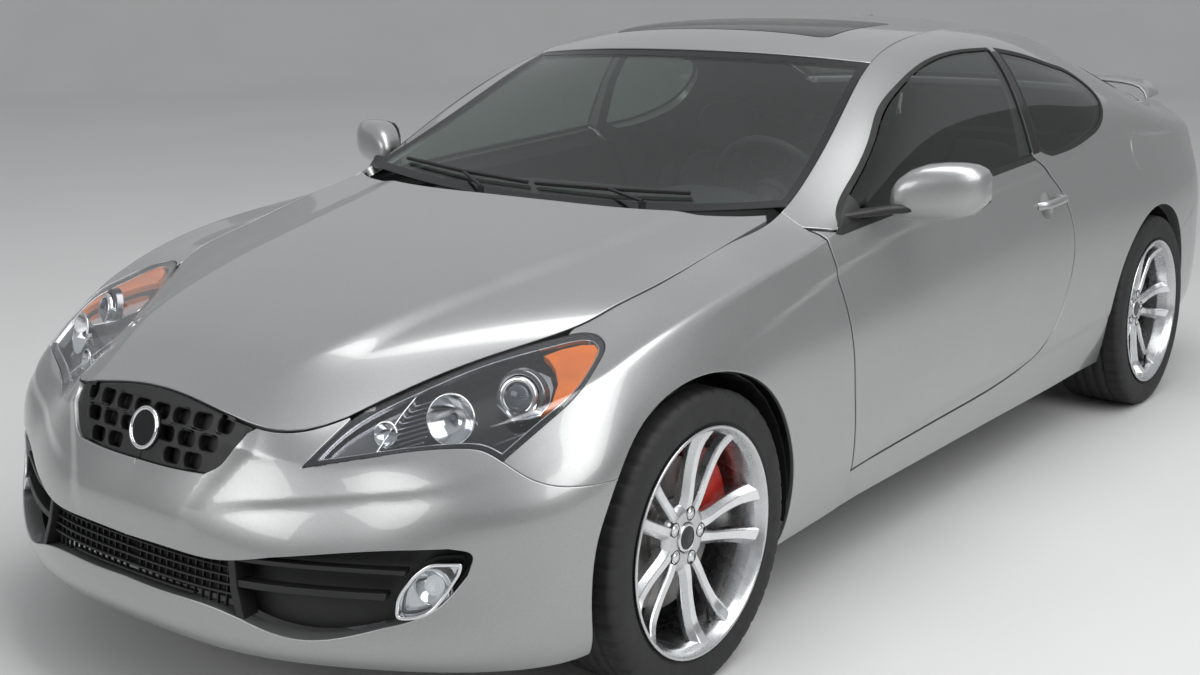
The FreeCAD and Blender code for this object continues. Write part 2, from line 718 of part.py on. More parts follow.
# Stations at which the side is faceted, and the levels
NOSE_STATIONS = (-1270, -1060, -880, -740, -600, -450, -300, -150, 0, 150, 300, 450, 600, 740, 880, 970, 1060,
                 1165,
                 1270, 1375)
FENDER_STATIONS = (780, 880, 970, 1060, 1165, 1270, 1375, 1480, 1665, 1850, 1980, 2150)
SIDE_STATIONS = (1995, 2110, 2290, 2470, 2645, 2820, 3170, 3570, 3970, 4135, 4300, 4485, 4670, 4845, 5020,
                 5155, 5290, 5440)
DOOR_STATIONS = (2050, 2110, 2290, 2470, 2645, 2820, 3170, 3570, 3620)
TAIL_STATIONS = (4620, 4845, 5020, 5155, 5290, 5440, 5600, 5775, 5950)
LEVELS = (0, 50, 95, 185, 265, 345, 440, 535, 630, 725, 860, 1000, 1060, 1110)
PLAN_STATIONS = (600, 740, 880, 970, 1060, 1165, 1270, 1375, 1480, 1665, 1850, 1980, 2110, 2290, 2470, 2645,
                 2820, 2995, 3170, 3370, 3570, 3770, 3970, 4135, 4300, 4485, 4670, 4845, 4930, 5020, 5110,
                 5200, 5290)


def whole_outline(half):
    """A closed plan outline from its left half, which runs from nose to tail."""
    right = [(-x, y) for x, y in half[::-1] if abs(x) > 1e-6]
    return list(half) + right


def ditch_plan(first, last):
    """The ditch line between two stations, from above."""
    stations = [s for s in PLAN_STATIONS if first < s < last]
    return [(ditch(s).x, ditch(s).y) for s in [first] + stations + [last]]


TOP_PLAN = whole_outline([(0, ditch(0).y)] + ditch_plan(300, 5440)
                         + [(ditch(5600).x, ditch(5600).y), (0, ditch(5950).y)])
EDGE_TRIM = 1.5
TOP_CUTTER = plan_prism(grown(TOP_PLAN, -EDGE_TRIM), 500)


def trimmed_side(stations, levels, top, bottom):
    """A slab of the left side, with the room of the top panels cut away."""
    return SIDE.slab(stations, levels, top, bottom).cut(TOP_CUTTER)


def arch_cutter(axle, radius, wheel_radius, low=480.0, high=FAR):
    """The room of a wheel arch on the left side."""
    return Part.makeCylinder(radius, high - low, Vector(low, axle, wheel_radius), Vector(1, 0, 0))


FRONT_ARCH = arch_cutter(FRONT_AXLE, size("front_arch_radius"), size("front_tyre_radius"))
REAR_ARCH = arch_cutter(REAR_AXLE, size("rear_arch_radius"), size("rear_tyre_radius"))

door_outline = sized_side(DOOR_OUTLINE)
door_window = sized_side(DOOR_WINDOW)
quarter_window = sized_side(QUARTER_WINDOW)
lamp_cutter = tilted_prism(LAMP_OUTLINE, LAMP_AXIS, -200, 200)


def make_door_hinge():
    """Where the left door turns, in plan: a little inside its widest skin, ahead of its leading edge."""
    edge = sized_side(FENDER_REAR)
    return Vector(SIDE.point(2110, 345, 0).x - 25, edge[1][0] - 36, 0)


DOOR_AXIS = make_door_hinge()
HINGE_HEIGHTS = (sized_z(420), sized_z(680))


# Body panels

BELT_LEVEL = 630.0
PILLAR_LEVEL = 860.0


def wall_depth(level):
    """The thickness of the body side: full up to the belt, then down to that of the pillars."""
    share = min(max((level - BELT_LEVEL) / (PILLAR_LEVEL - BELT_LEVEL), 0.0), 1.0)
    return size("wall") + (size("pillar_wall") - size("wall")) * share


# Places along the car that are clear of the nose, ahead of it and behind its skin
NOSE_AHEAD = sized_y(-2313) - 287
NOSE_BEHIND = sized_y(-2313) + 313


def rear_bumper_zone():
    """Side view of all that the rear bumper takes from the car."""
    below = [(sized_y(2600), -100), (REAR_AXLE + 60, -100), (REAR_AXLE + 60, sized_z(560))]
    return sized_side(REAR_BUMPER_LINE) + below


def make_body_side():
    """Sill, pillars, roof rail and quarter panel of the left side, in one pressing with its inner panel."""
    side = trimmed_side(SIDE_STATIONS, LEVELS, 0, wall_depth)
    inner = size("sill_inner")
    sill_top = sized_z(300)
    side = side.fuse(box((inner, SIDE.point(2110, 185, 60).x + 20), (sized_y(-960), sized_y(955)),
                         (sized_z(212), sill_top)))
    pillar = box((inner, sized_x(812)), (sized_y(-962), sized_y(-902)), (sill_top - 20, sized_z(925)))
    side = side.fuse(pillar)
    gap = size("shut_gap")
    side = side.cut(side_prism(grown(door_outline, gap / 2), inner - 60))
    ahead = [(sized_y(-1200), 0), (sized_y(-800), 0), (sized_y(-806), sized_z(298)),
             (sized_y(-892), sized_z(925)),
             (sized_y(-892), sized_z(1200)), (sized_y(-1200), sized_z(1200))]
    side = side.cut(side_prism(grown(ahead, size("seam") / 2), sized_x(813)))
    under_fender = SIDE.slab(FENDER_STATIONS[-5:], LEVELS[5:], -30, size("panel") + size("seam"))
    side = side.cut(under_fender.common(side_prism(grown(ahead, size("seam") / 2), 400)))
    for height in HINGE_HEIGHTS:
        side = side.cut(box((inner + 25, DOOR_AXIS.x + 60), (DOOR_AXIS.y - 22, DOOR_AXIS.y + 190),
                            (height - 17.5, height + 18)))
    side = side.cut(side_prism(door_window))
    side = side.cut(side_prism(quarter_window))
    side = side.cut(REAR_ARCH)
    bumper_zone = rear_bumper_zone()
    side = side.cut(side_prism(bumper_zone, 400))
    side = side.cut(side_prism(sized_side(TAIL_LAMP_OUTLINE), 400))
    return side


def make_front_fender():
    """The skin over the left front wheel, from the headlamp back to the door."""
    skin = trimmed_side(FENDER_STATIONS, LEVELS, 0, size("panel"))
    zone = [(sized_y(-1990), sized_z(1000))] + sized_side(BUMPER_LINE)
    zone += [(FRONT_AXLE, sized_z(551)), (FRONT_AXLE, -50), (sized_y(-800), -50)]
    zone += sized_side(((-806, 298), (-892, 925), (-892, 1000)))
    skin = skin.common(side_prism(grown(zone, -size("seam") / 2), 400))
    gap = size("shut_gap") / 2
    skin = skin.cut(side_prism(grown(door_outline, gap), 700))
    return skin.cut(FRONT_ARCH).cut(lamp_cutter)


def make_front_bumper():
    """The cover round the nose, open at the grille, the intakes and the lamps."""
    stations = [s for s in NOSE_STATIONS if s >= 0]
    half = trimmed_side(stations, LEVELS, 0, size("bumper_wall"))
    over = [(sized_y(-1990), sized_z(1000))] + sized_side(BUMPER_LINE)
    over += [(FRONT_AXLE + 200, sized_z(551)), (FRONT_AXLE + 200, sized_z(1000))]
    half = half.cut(side_prism(grown(over, size("seam") / 2), 400))
    half = half.cut(FRONT_ARCH).cut(lamp_cutter)
    half = half.cut(tilted_prism(POCKET_OUTLINE, POCKET_AXIS, -200, 200))
    half = half.cut(tilted_prism(shrunk(FOG_LAMP_OUTLINE, -0.01), POCKET_AXIS, -200, 200))
    cover = half.fuse(mirrored(half))
    grille = whole_outline(sized_front(GRILLE_OUTLINE))
    intake = whole_outline(sized_front(INTAKE_OUTLINE))
    cover = cover.cut(front_prism(grille, NOSE_AHEAD, NOSE_BEHIND))
    return cover.cut(front_prism(intake, NOSE_AHEAD, NOSE_BEHIND))


PAD_WIDTH = 516.0
PLATE_HOLES = 178.0


TAILPIPE_ROOM = 12


def make_rear_bumper():
    """The cover round the tail, with the recess for a plate and the cut-outs for two tailpipes."""
    half = SIDE.slab(TAIL_STATIONS, (0, 50, 95, 185, 345, 440, 535, 630), 0, size("bumper_wall"))
    zone = rear_bumper_zone()
    half = half.common(side_prism(grown(zone, -size("seam")), -10))
    half = half.cut(REAR_ARCH)
    start = Vector(sized_x(470), sized_y(1990), sized_z(262))
    pipe = rod(start, start + Vector(0, 500, 0), size("tailpipe") + TAILPIPE_ROOM, 20)
    half = half.cut(pipe)
    cover = half.fuse(mirrored(half))
    back = SIDE.point(5950, 345, 12).y
    recess = box((-270, 270), (back, back + 300), (sized_z(420), sized_z(560)))
    cover = cover.cut(recess)
    pad = box((-PAD_WIDTH / 2, PAD_WIDTH / 2), (back - 6, back + 3), (sized_z(428), sized_z(552)))
    holes = []
    for x in (-PLATE_HOLES / 2, PLATE_HOLES / 2):
        hole = Vector(x, back - 22, sized_z(528))
        holes.append(round_rod(hole, hole + Vector(0, 40, 0), size("plate_hole")))
    return cover.fuse(pad).cut(holes)


def hood_room():
    """The room that the front of the shut hood needs."""
    gap = size("shut_gap")
    slab = HOOD.slab((604, 740, 970, 1270), (-1, -CREASE, 0, CREASE, 1), -gap, size("hood_wall") + gap)
    plan = whole_outline([(0, ditch(0).y)] + ditch_plan(300, 1060) + [(0, ditch(1270).y)])
    return slab.common(plan_prism(grown(plan, gap)))


REAR_EDGE_OF_HOOD = ((0, -1030), (379, -1018), (560, -985), (665, -945), (708, -915))


def make_hood():
    """The hood, with the gooseneck arms of its two hinges."""
    stations = [604] + [s for s in PLAN_STATIONS if 604 < s < 2104] + [2104]
    across = (-1, -0.85, -CREASE, -0.5, -0.25, 0, 0.25, 0.5, CREASE, 0.85, 1)
    hood = HOOD.slab(stations, across, 0, size("hood_wall"))
    front = [(0, ditch(0).y)] + ditch_plan(300, 1980)
    rear = [(x, y) for x, y in sized_plan(REAR_EDGE_OF_HOOD)]
    plan = whole_outline(front + rear[::-1])
    hood = hood.common(plan_prism(grown(plan, -size("shut_gap"))))
    path = sized_side(((-850, 890), (-910, 845), (-1040, 838), (-1085, 910)))
    arm = side_prism(ribbon(path, 9), HOOD_ARM_X - 5, HOOD_ARM_X + 5)
    barrel = rod(HOOD_AXIS + Vector(HOOD_ARM_X - 5, 0, 0), HOOD_AXIS + Vector(HOOD_ARM_X + 5, 0, 0),
                 size("hinge_barrel"), 12)
    bore = bore_rod(HOOD_AXIS + Vector(HOOD_ARM_X - 6, 0, 0), HOOD_AXIS + Vector(HOOD_ARM_X + 6, 0, 0),
                    size("hinge_pin"))
    arm = arm.fuse(barrel).cut(bore)
    return hood.fuse([arm, mirrored(arm)])


HOOD_AXIS = Vector(0, sized_y(-850), sized_z(890))
HOOD_ARM_X = sized_x(600)


COWL_LOW = 842.0
COWL_TOP = ((-1012, 858), (-905, 885), (-828, 905))


def make_cowl():
    """The panel between the hood and the windshield, with the pins of the hood's hinges on its ears."""
    profile = sized_side(COWL_TOP + ((-828, COWL_LOW), (-1012, COWL_LOW)))
    panel = side_prism(profile, -sized_x(640), sized_x(640))
    ear_path = [(HOOD_AXIS.y, HOOD_AXIS.z + 8), (HOOD_AXIS.y, HOOD_AXIS.z - 40)]
    ear = side_prism(ribbon(ear_path, 11), HOOD_ARM_X + 8, HOOD_ARM_X + 14)
    pin = round_rod(HOOD_AXIS + Vector(HOOD_ARM_X - 8, 0, 0), HOOD_AXIS + Vector(HOOD_ARM_X + 12, 0, 0),
                    size("hinge_pin"))
    ear = ear.fuse(pin)
    room = box((HOOD_ARM_X - 12, HOOD_ARM_X + 8), (HOOD_AXIS.y - 300, HOOD_AXIS.y + 16),
               (HOOD_AXIS.z - 75, HOOD_AXIS.z + 200))
    panel = panel.cut([room, mirrored(room)])
    return panel.fuse([ear, mirrored(ear)])


def plan_cut(first, last, front, rear):
    """A plan outline of a top panel: the ditch line between two stations and the ends' own points."""
    return whole_outline([front] + ditch_plan(first, last) + [rear])


def top_panel(skin, across, top, bottom, inset):
    """A panel between the two ditch lines, cut by the line moved in by a gap."""
    inner = [s for s in PLAN_STATIONS if skin.rows[0] < s < skin.rows[-1]]
    stations = [skin.rows[0]] + inner + [skin.rows[-1]]
    slab = skin.slab(stations, across, top, bottom)
    return slab.common(plan_prism(grown(TOP_PLAN, -EDGE_TRIM - inset)))


ROOF_ACROSS = (-1, -0.7, -0.35, 0, 0.35, 0.7, 1)
SUNROOF_PLAN = ((395, -95), (395, 330), (-395, 330), (-395, -95))


def make_roof():
    """The roof between the two side rails, open for the sunroof."""
    roof = top_panel(ROOF, ROOF_ACROSS, 0, size("roof_wall"), size("seam"))
    return roof.cut(plan_prism(sized_plan(SUNROOF_PLAN)))


def make_sunroof():
    """The pane in the roof's opening."""
    slab = ROOF.slab((2860, 2900, 2995, 3170, 3370), ROOF_ACROSS, 0, size("glass"))
    return slab.common(plan_prism(grown(sized_plan(SUNROOF_PLAN), -size("seam"))))


def make_pane(skin, first, last):
    """A windshield or rear window, bonded between the pillars."""
    stations = [first] + [s for s in PLAN_STATIONS if first + 5 < s < last - 5] + [last]
    slab = skin.slab(stations, ROOF_ACROSS, 0, size("glass"))
    return slab.common(plan_prism(grown(TOP_PLAN, -EDGE_TRIM - size("seam"))))


def window_pane(outline, stations):
    """A pane in the left side's window line."""
    levels = (630, 725, 860, 1000, 1060)
    slab = SIDE.slab(stations, levels, 0, size("glass"))
    return slab.common(side_prism(outline))


def shrunk(points, share):
    """Drawn points moved towards their middle by a share."""
    count = len(points)
    middle = [sum(p[k] for p in points) / count for k in range(3)]
    return [tuple(p[k] + (middle[k] - p[k]) * share for k in range(3)) for p in points]


def make_headlamp():
    """The left headlamp behind its lens."""
    stations = (380, 450, 600, 740, 880, 970, 1060, 1165, 1270)
    slab = trimmed_side(stations, LEVELS[7:], 0, size("lamp_depth"))
    return slab.common(tilted_prism(shrunk(LAMP_OUTLINE, 0.006), LAMP_AXIS, -200, 200))


def make_fog_lamp():
    """The fog lamp at the outer end of the left pocket."""
    slab = SIDE.slab((600, 740, 880), (50, 95, 185, 265, 345, 440), 12, size("lamp_depth"))
    return slab.common(tilted_prism(FOG_LAMP_OUTLINE, POCKET_AXIS, -200, 200))


def make_tail_lamp():
    """The left tail lamp, round the corner of the tail."""
    stations = [s for s in SIDE_STATIONS if s >= 4670]
    slab = trimmed_side(stations, LEVELS[7:], 0, size("lamp_depth"))
    return slab.common(side_prism(grown(sized_side(TAIL_LAMP_OUTLINE), -size("seam")), 400))


def hole_row(middle_z, pitch, half_width, half_height, count):
    """A row of six-cornered holes across the nose, as (x, z) outlines."""
    outlines = []
    for i in range(count):
        middle = (i - (count - 1) / 2) * pitch
        outlines.append([(middle - half_width, middle_z), (middle - half_width * 0.7, middle_z - half_height),
                         (middle + half_width * 0.7, middle_z - half_height), (middle + half_width, middle_z),
                         (middle + half_width * 0.7, middle_z + half_height),
                         (middle - half_width * 0.7, middle_z + half_height)])
    return outlines


# columns: height of the row, pitch of its holes, half their width, half their height, how many
GRILLE_HOLES = ((642, 66, 27, 13, 7), (605, 66, 27, 14, 6), (567, 66, 27, 12, 5))


def make_upper_grille():
    """The grille in the nose: three rows of holes, and a blank round plate in the middle."""
    stations = (-450, -300, -150, 0, 150, 300, 450)
    plate = SIDE.slab(stations, (440, 535, 630, 725, 860), 18, 34)
    opening = whole_outline(sized_front(GRILLE_OUTLINE))
    plate = plate.common(front_prism(grown(opening, -size("seam")), NOSE_AHEAD, NOSE_BEHIND))
    holes = []
    for row in GRILLE_HOLES:
        holes += [front_prism(sized_front(outline), NOSE_AHEAD, NOSE_BEHIND) for outline in hole_row(*row)]
    plate = plate.cut(holes + [hood_room()])
    middle = Vector(0, SIDE.point(0, 640, 0).y - 2, sized_z(602))
    badge = Part.makeCylinder(46, 40, middle, Vector(0, 0.94, 0.34))
    return plate.fuse(badge)


# columns: height of a bar in the lower intakes, half its thickness
INTAKE_BARS = ((372, 5), (346, 5), (320, 5))
POCKET_FINS = ((398, 6), (348, 6))


def make_lower_grille():
    """The bars of the middle intake and the two fins in each side pocket."""
    stations = (-450, -300, -150, 0, 150, 300, 450)
    plate = SIDE.slab(stations, (95, 185, 265, 345), 16, 38)
    opening = grown(whole_outline(sized_front(INTAKE_OUTLINE)), -size("seam"))
    plate = plate.common(front_prism(opening, NOSE_AHEAD, NOSE_BEHIND))
    slots = []
    edges = sized_front(INTAKE_OUTLINE)
    inner = grown(whole_outline(edges), -9)
    heights = [sized_z(387)] + [sized_z(z) for z, half in INTAKE_BARS] + [sized_z(302)]
    for upper, lower in zip(heights, heights[1:]):
        slots.append(front_prism(inner, NOSE_AHEAD, NOSE_BEHIND).common(
            box((-400, 400), (NOSE_AHEAD, NOSE_BEHIND), (lower + 5, upper - 5))))
    plate = plate.cut(slots)
    pocket = SIDE.slab((150, 300, 450, 600, 740, 880, 970), (50, 95, 185, 265, 345, 440), 30,
                       size("bumper_wall") + 14)
    pocket = pocket.common(tilted_prism(shrunk(POCKET_OUTLINE, 0.004), POCKET_AXIS, -200, 200))
    fins = SIDE.slab((150, 300, 450, 600, 740), (50, 95, 185, 265, 345, 440), 8, 31)
    fins = fins.common(tilted_prism(shrunk(POCKET_OUTLINE, 0.004), POCKET_AXIS, -200, 200))
    bands = [box((200, sized_x(628)), (NOSE_AHEAD, NOSE_BEHIND), (sized_z(z) - half, sized_z(z) + half))
             for z, half in POCKET_FINS]
    fins = fins.common(Part.makeCompound(bands))
    pocket = pocket.fuse(fins)
    room = SIDE.slab((600, 740, 880), (50, 95, 185, 265, 345, 440), 0, size("lamp_depth"))
    room = room.common(tilted_prism(shrunk(FOG_LAMP_OUTLINE, -0.02), POCKET_AXIS, -200, 200))
    pocket = pocket.cut(room)
    return Part.makeCompound([plate, pocket, mirrored(pocket)])


def make_trunk_lid():
    """The trunk lid: the deck and the panel between the tail lamps, on two gooseneck hinges."""
    stations = [4612, 4670, 4845, 5020, 5155, 5290]
    deck = DECK.slab(stations, ROOF_ACROSS, 0, size("deck_wall"))
    gap = size("shut_gap")
    plan = [(0, DECK.point(4612, 0, 0).y)] + ditch_plan(4612, 5440) + [(ditch(5600).x, ditch(5600).y)]
    plan = whole_outline(plan + [(0, ditch(5950).y + 60)])
    deck = deck.common(plan_prism(grown(plan, -gap)))
    rear_stations = (5450, 5600, 5775, 5950)
    half = SIDE.slab(rear_stations, (535, 630, 725, 860, 1000, 1060, 1110), 0, size("deck_wall"))
    low_edge = sized_side(((2100, 715), (2420, 715), (2420, 1200), (2100, 1200)))
    half = half.common(side_prism(grown(low_edge, -gap), -10))
    lid = deck.fuse([half, mirrored(half)])
    y, z = TRUNK_AXIS.y, TRUNK_AXIS.z
    path = sized_side(((1450, 960), (1475, 860), (1550, 810), (1680, 795), (1770, 860), (1777, 1064)))
    arm = side_prism(ribbon(path, 10), TRUNK_ARM_X - 6, TRUNK_ARM_X + 6)
    barrel = rod(Vector(TRUNK_ARM_X - 6, y, z), Vector(TRUNK_ARM_X + 6, y, z), size("hinge_barrel"), 12)
    bore = bore_rod(Vector(TRUNK_ARM_X - 7, y, z), Vector(TRUNK_ARM_X + 7, y, z), size("hinge_pin"))
    arm = arm.fuse(barrel).cut(bore)
    return lid.fuse([arm, mirrored(arm)])


TRUNK_AXIS = Vector(0, sized_y(1450), sized_z(960))
TRUNK_ARM_X = sized_x(520)


def make_rear_wing():
    """The wing on the trunk lid, standing on two feet."""
    # columns: x, then y of the leading edge, y of the trailing edge, z of the chord, thickness
    sections = ((0, 2040, 2205, 1108, 22), (375, 2035, 2200, 1104, 22), (560, 2030, 2190, 1088, 20),
                (640, 2040, 2170, 1052, 16))
    wires = []
    for x, lead, trail, height, thick in sections:
        chord = trail - lead
        points = ((0, 0), (0.3, 0.6), (0.75, 0.55), (1, 0.35), (1, 0.15), (0.5, -0.4))
        corners = [sized((x, lead + chord * a, height + thick * b)) for a, b in points]
        wires.append(corners)
    blade = flat_loft(wires)
    foot_side = sized_side(((2070, 1104), (2150, 1106), (2160, 1030), (2080, 1030)))
    foot = side_prism(foot_side, sized_x(440), sized_x(470))
    deck = DECK.slab((4670, 4845, 5020, 5155, 5290), (0, 0.35, 0.7, 1), -size("seat_gap"), 40)
    half = blade.fuse(foot).cut(deck)
    return half.fuse(mirrored(half))


# Doors

HINGE_SIDES = 14


def hinge_cone(axis, clearance):
    """The room that the fender's slanted rear edge needs round a hinge axis."""
    low = sized_z(150)
    high = sized_z(1050)
    edge = sized_side(FENDER_REAR)
    slope = (edge[1][0] - edge[0][0]) / (edge[1][1] - edge[0][1])
    reach = []
    for z in (low, high):
        along = edge[0][0] + slope * (z - edge[0][1]) - axis.y
        inside = math.hypot(25, along - size("shut_gap") / 2) + clearance
        reach.append(inside / math.cos(math.pi / HINGE_SIDES))
    sections = []
    for z, radius in zip((low, high), reach):
        turns = [2 * math.pi * i / HINGE_SIDES for i in range(HINGE_SIDES)]
        sections.append([Vector(axis.x + radius * math.cos(turn), axis.y + radius * math.sin(turn), z)
                         for turn in turns])
    return flat_loft(sections)


def make_door():
    """The left door: its outer layer, its inner layer and the arms of two gooseneck hinges."""
    levels = (50, 95, 185, 265, 345, 440, 535, 630, 725, 770)
    gap = size("shut_gap")
    skin = SIDE.slab(DOOR_STATIONS, levels, 0, size("door_skin"))
    skin = skin.common(side_prism(grown(door_outline, -gap / 2), 600))
    inner_levels = (95, 265, 440, 630, 725, 770)
    inner = SIDE.slab(DOOR_STATIONS, inner_levels, size("door_skin") - 6, size("door_depth"))
    room = [(y, min(z, sized_z(900) + (y - sized_y(-886)) * 0.04)) for y, z in grown(door_outline, -gap - 13)]
    inner = inner.common(side_prism(room, 600))
    door = skin.fuse(inner)
    door = door.cut(hinge_cone(DOOR_AXIS, 5.5))
    x, y = DOOR_AXIS.x, DOOR_AXIS.y
    for height in HINGE_HEIGHTS:
        path = [(x, y), (x - 88, y + 57), (x - 86, y + 105), (x - 60, y + 150)]
        arm = prism([Vector(a, b, height - 12) for a, b in ribbon(path, 5)], Vector(0, 0, 24))
        barrel = rod(Vector(x, y, height - 12), Vector(x, y, height + 12), size("hinge_barrel"), 12)
        bore = bore_rod(Vector(x, y, height - 20), Vector(x, y, height + 20), size("hinge_pin"))
        door = door.fuse(arm.fuse(barrel)).cut(bore)
    return door


def make_hinge_brackets():
    """The pins that the left door turns on, and the brackets that hold them to the pillar."""
    x, y = DOOR_AXIS.x, DOOR_AXIS.y
    pieces = []
    for height in HINGE_HEIGHTS:
        pin = Part.makeCylinder(size("hinge_pin"), 46, Vector(x, y, height - 30))
        inner = sized_x(812) - 4
        plate = box((inner, x + 10), (y - 11, y + 9), (height - 30, height - 12 - size("seat_gap")))
        pieces.append(pin.fuse(plate))
    return pieces


DOOR_GLASS = (
    (-700, 918.5), (0, 960), (354, 979), (372, 1296), (104, 1296), (-83, 1271), (-249, 1225),
    (-389, 1168), (-506, 1100), (-653, 1014), (-700, 987),
)
SAIL = ((-826, 911), (-700, 918.5), (-700, 987), (-777, 944))


def on_the_door(outline, feet):
    """A window outline moved in by the shut gap, but down to the door along its first few points."""
    gap = size("shut_gap")
    moved = grown(sized_side(outline), -gap)
    drop = gap + gap / 2 - size("seat_gap")
    return [(y, z - drop) if i < feet else (y, z) for i, (y, z) in enumerate(moved)]


def make_door_glass():
    """The frameless pane of the left door, with its foot on the door's upper edge."""
    stations = (2200, 2290, 2470, 2645, 2820, 2995, 3170, 3370, 3480)
    return window_pane(on_the_door(DOOR_GLASS, 3), stations)


def make_mirror():
    """The left mirror: a rounded housing on an arm, on the sail plate at the door's front corner."""
    # columns: x, then the middle of the section in y and z, half its length and half its height
    sections = ((826, -752, 938, 22, 10), (900, -650, 958, 24, 16), (935, -590, 980, 44, 46),
                (985, -565, 1000, 64, 64),
                (1050, -545, 1004, 58, 62), (1105, -525, 1002, 32, 38))
    wires = []
    for x, y, z, deep, tall in sections:
        corners = [sized((x, y + deep * a, z + tall * b)) for a, b in
                   ((-1, -0.3), (-0.9, 0.55), (-0.3, 1), (0.7, 0.9), (0.8, 0), (0.7, -0.9), (-0.3, -1))]
        wires.append(corners)
    housing = flat_loft(wires)
    sail = SIDE.slab((2110, 2200, 2290, 2400), (630, 725, 860, 1000), 0, 14)
    sail = sail.common(side_prism(on_the_door(SAIL, 2)))
    return housing.fuse(sail)


# Inside

def extruded_profile(points, low, high):
    """A solid across the car on a drawn (y, z) outline, between two drawn distances from the middle."""
    return side_prism(sized_side(points), sized_x(low), sized_x(high))


SEAT_CUSHION = ((-170, 330), (-190, 400), (-150, 440), (250, 400), (330, 390), (330, 300), (-120, 290))
SEAT_BACK = ((270, 395), (330, 300), (420, 330), (640, 860), (610, 905), (560, 900), (520, 850), (330, 470))
HEADREST = ((575, 925), (625, 915), (690, 1010), (680, 1080), (630, 1085), (590, 1020))
REAR_FLOOR = 400.0
REAR_RAIL = 70.0
SEAT_INNER = 140
SEAT_OUTER = 620


def make_front_seats():
    """Two front seats, each a cushion, a back and a headrest on two posts, on a pair of rails."""
    low, high = SEAT_INNER + 30, SEAT_OUTER
    middle = (low + high) / 2
    pads = [(SEAT_CUSHION, low, high), (SEAT_BACK, low, high)]
    post = ((584, 880), (598, 880), (632, 960), (618, 960))
    pads += [(post, middle + side - 7, middle + side + 7) for side in (-60, 60)]
    pads.append((HEADREST, middle - 130, middle + 130))
    floor = DRAWN_CLEARANCE + 10 + size("floor_plate") + size("seat_gap")
    rail = ((-150, floor), (330, floor), (330, 330), (-150, 330))
    pads += [(rail, x - 15, x + 15) for x in (low + 40, high - 40)]
    seat = padded_body("front_seat", pads)
    seats = doc.addObject("Part::Compound", "front_seats")
    seats.Links = [seat, mirror_object("front_seat_right", seat)]
    return seats


def make_rear_seat():
    """The rear bench: two cushions and a back in one moulding, on the raised floor."""
    foot = REAR_FLOOR + size("seat_gap")
    cushion = ((760, foot), (745, 470), (800, 500), (1130, 450), (1130, foot))
    back = ((1060, 440), (1120, foot), (1210, foot), (1400, 900), (1340, 930), (1290, 900))
    return padded_body("rear_seat", [(cushion, -520, 520), (back, -520, 520)])


def make_dashboard():
    """The dashboard from door to door, with the hood over the gauges and the console down the middle."""
    wall = -880 + size("seat_gap")
    dash = ((wall, 640), (wall, 800), (-832, 836), (-800, 880), (-740, 918), (-560, 905), (-500, 850),
            (-520, 700),
            (-620, 620))
    gauges = ((-640, 900), (-620, 955), (-520, 950), (-510, 880), (-560, 850))
    console = ((-700, 420), (-700, 700), (-560, 720), (-380, 520), (480, 500), (500, 420))
    body = padded_body("dash_body", [(dash, -725, 725), (gauges, 210, 530), (console, -110, 110)])
    whole = doc.addObject("Part::Cut", "dashboard")
    whole.Base = body
    whole.Tool = make_column_bore()
    return whole


STEERING_CENTRE = Vector(sized_x(370), sized_y(-335), sized_z(900))
STEERING_TILT = math.radians(24)
STEERING_AXIS = Vector(0, math.cos(STEERING_TILT), math.sin(STEERING_TILT))


def make_steering_wheel():
    """The steering wheel: a rim, a hub with three spokes, and the shaft that turns in the dashboard."""
    radius = size("steering_radius")
    thick = size("steering_rim")
    profile = [(thick * math.cos(math.radians(a)), radius + thick * math.sin(math.radians(a)))
               for a in range(0, 360, 60)]
    rim = turned(profile, 20)
    rim.rotate(Vector(0, 0, 0), Vector(0, 0, 1), 90)
    rim.rotate(Vector(0, 0, 0), Vector(1, 0, 0), math.degrees(STEERING_TILT))
    rim.translate(STEERING_CENTRE)
    hub = rod(STEERING_CENTRE - STEERING_AXIS * 45, STEERING_CENTRE + STEERING_AXIS * 5, 62, 12)
    up = STEERING_AXIS.cross(Vector(1, 0, 0)).normalize()
    wheel = rim.fuse(hub)
    for angle in (0, 180, 270):
        way = Vector(1, 0, 0) * math.cos(math.radians(angle)) - up * math.sin(math.radians(angle))
        side = STEERING_AXIS.cross(way)
        start = STEERING_CENTRE - STEERING_AXIS * 30
        end = STEERING_CENTRE + way * radius - STEERING_AXIS * 5
        corners = [start - side * 26, start + side * 26, end + side * 16, end - side * 16]
        wheel = wheel.fuse(prism(corners, STEERING_AXIS * 14))
    shaft = rod(STEERING_CENTRE - STEERING_AXIS * 40, STEERING_CENTRE - STEERING_AXIS * 260,
                SHAFT_RADIUS, 12)
    return wheel.fuse(shaft)


SHAFT_RADIUS = 18


def make_column_bore():
    """The room of the steering shaft in the dashboard."""
    bore = doc.addObject("Part::Prism", "column_bore")
    start = STEERING_CENTRE - STEERING_AXIS * 262
    bore.Placement = FreeCAD.Placement(start, FreeCAD.Rotation(Vector(0, 0, 1), STEERING_AXIS))
    bore.Polygon = BORE_SIDES
    bore.Height = 142
    return bind(bore, Circumradius=f"({SHAFT_RADIUS} + Sizes.seat_gap) / cos(180 deg / {BORE_SIDES})")


# Under the body

FLOOR_LOW = size("ground_clearance") + 10
FLOOR_TOP = FLOOR_LOW + size("floor_plate")
APRON_X = size("sill_inner") - 261
RAIL_LOW = sized_z(530)
RAIL_HIGH = sized_z(600)


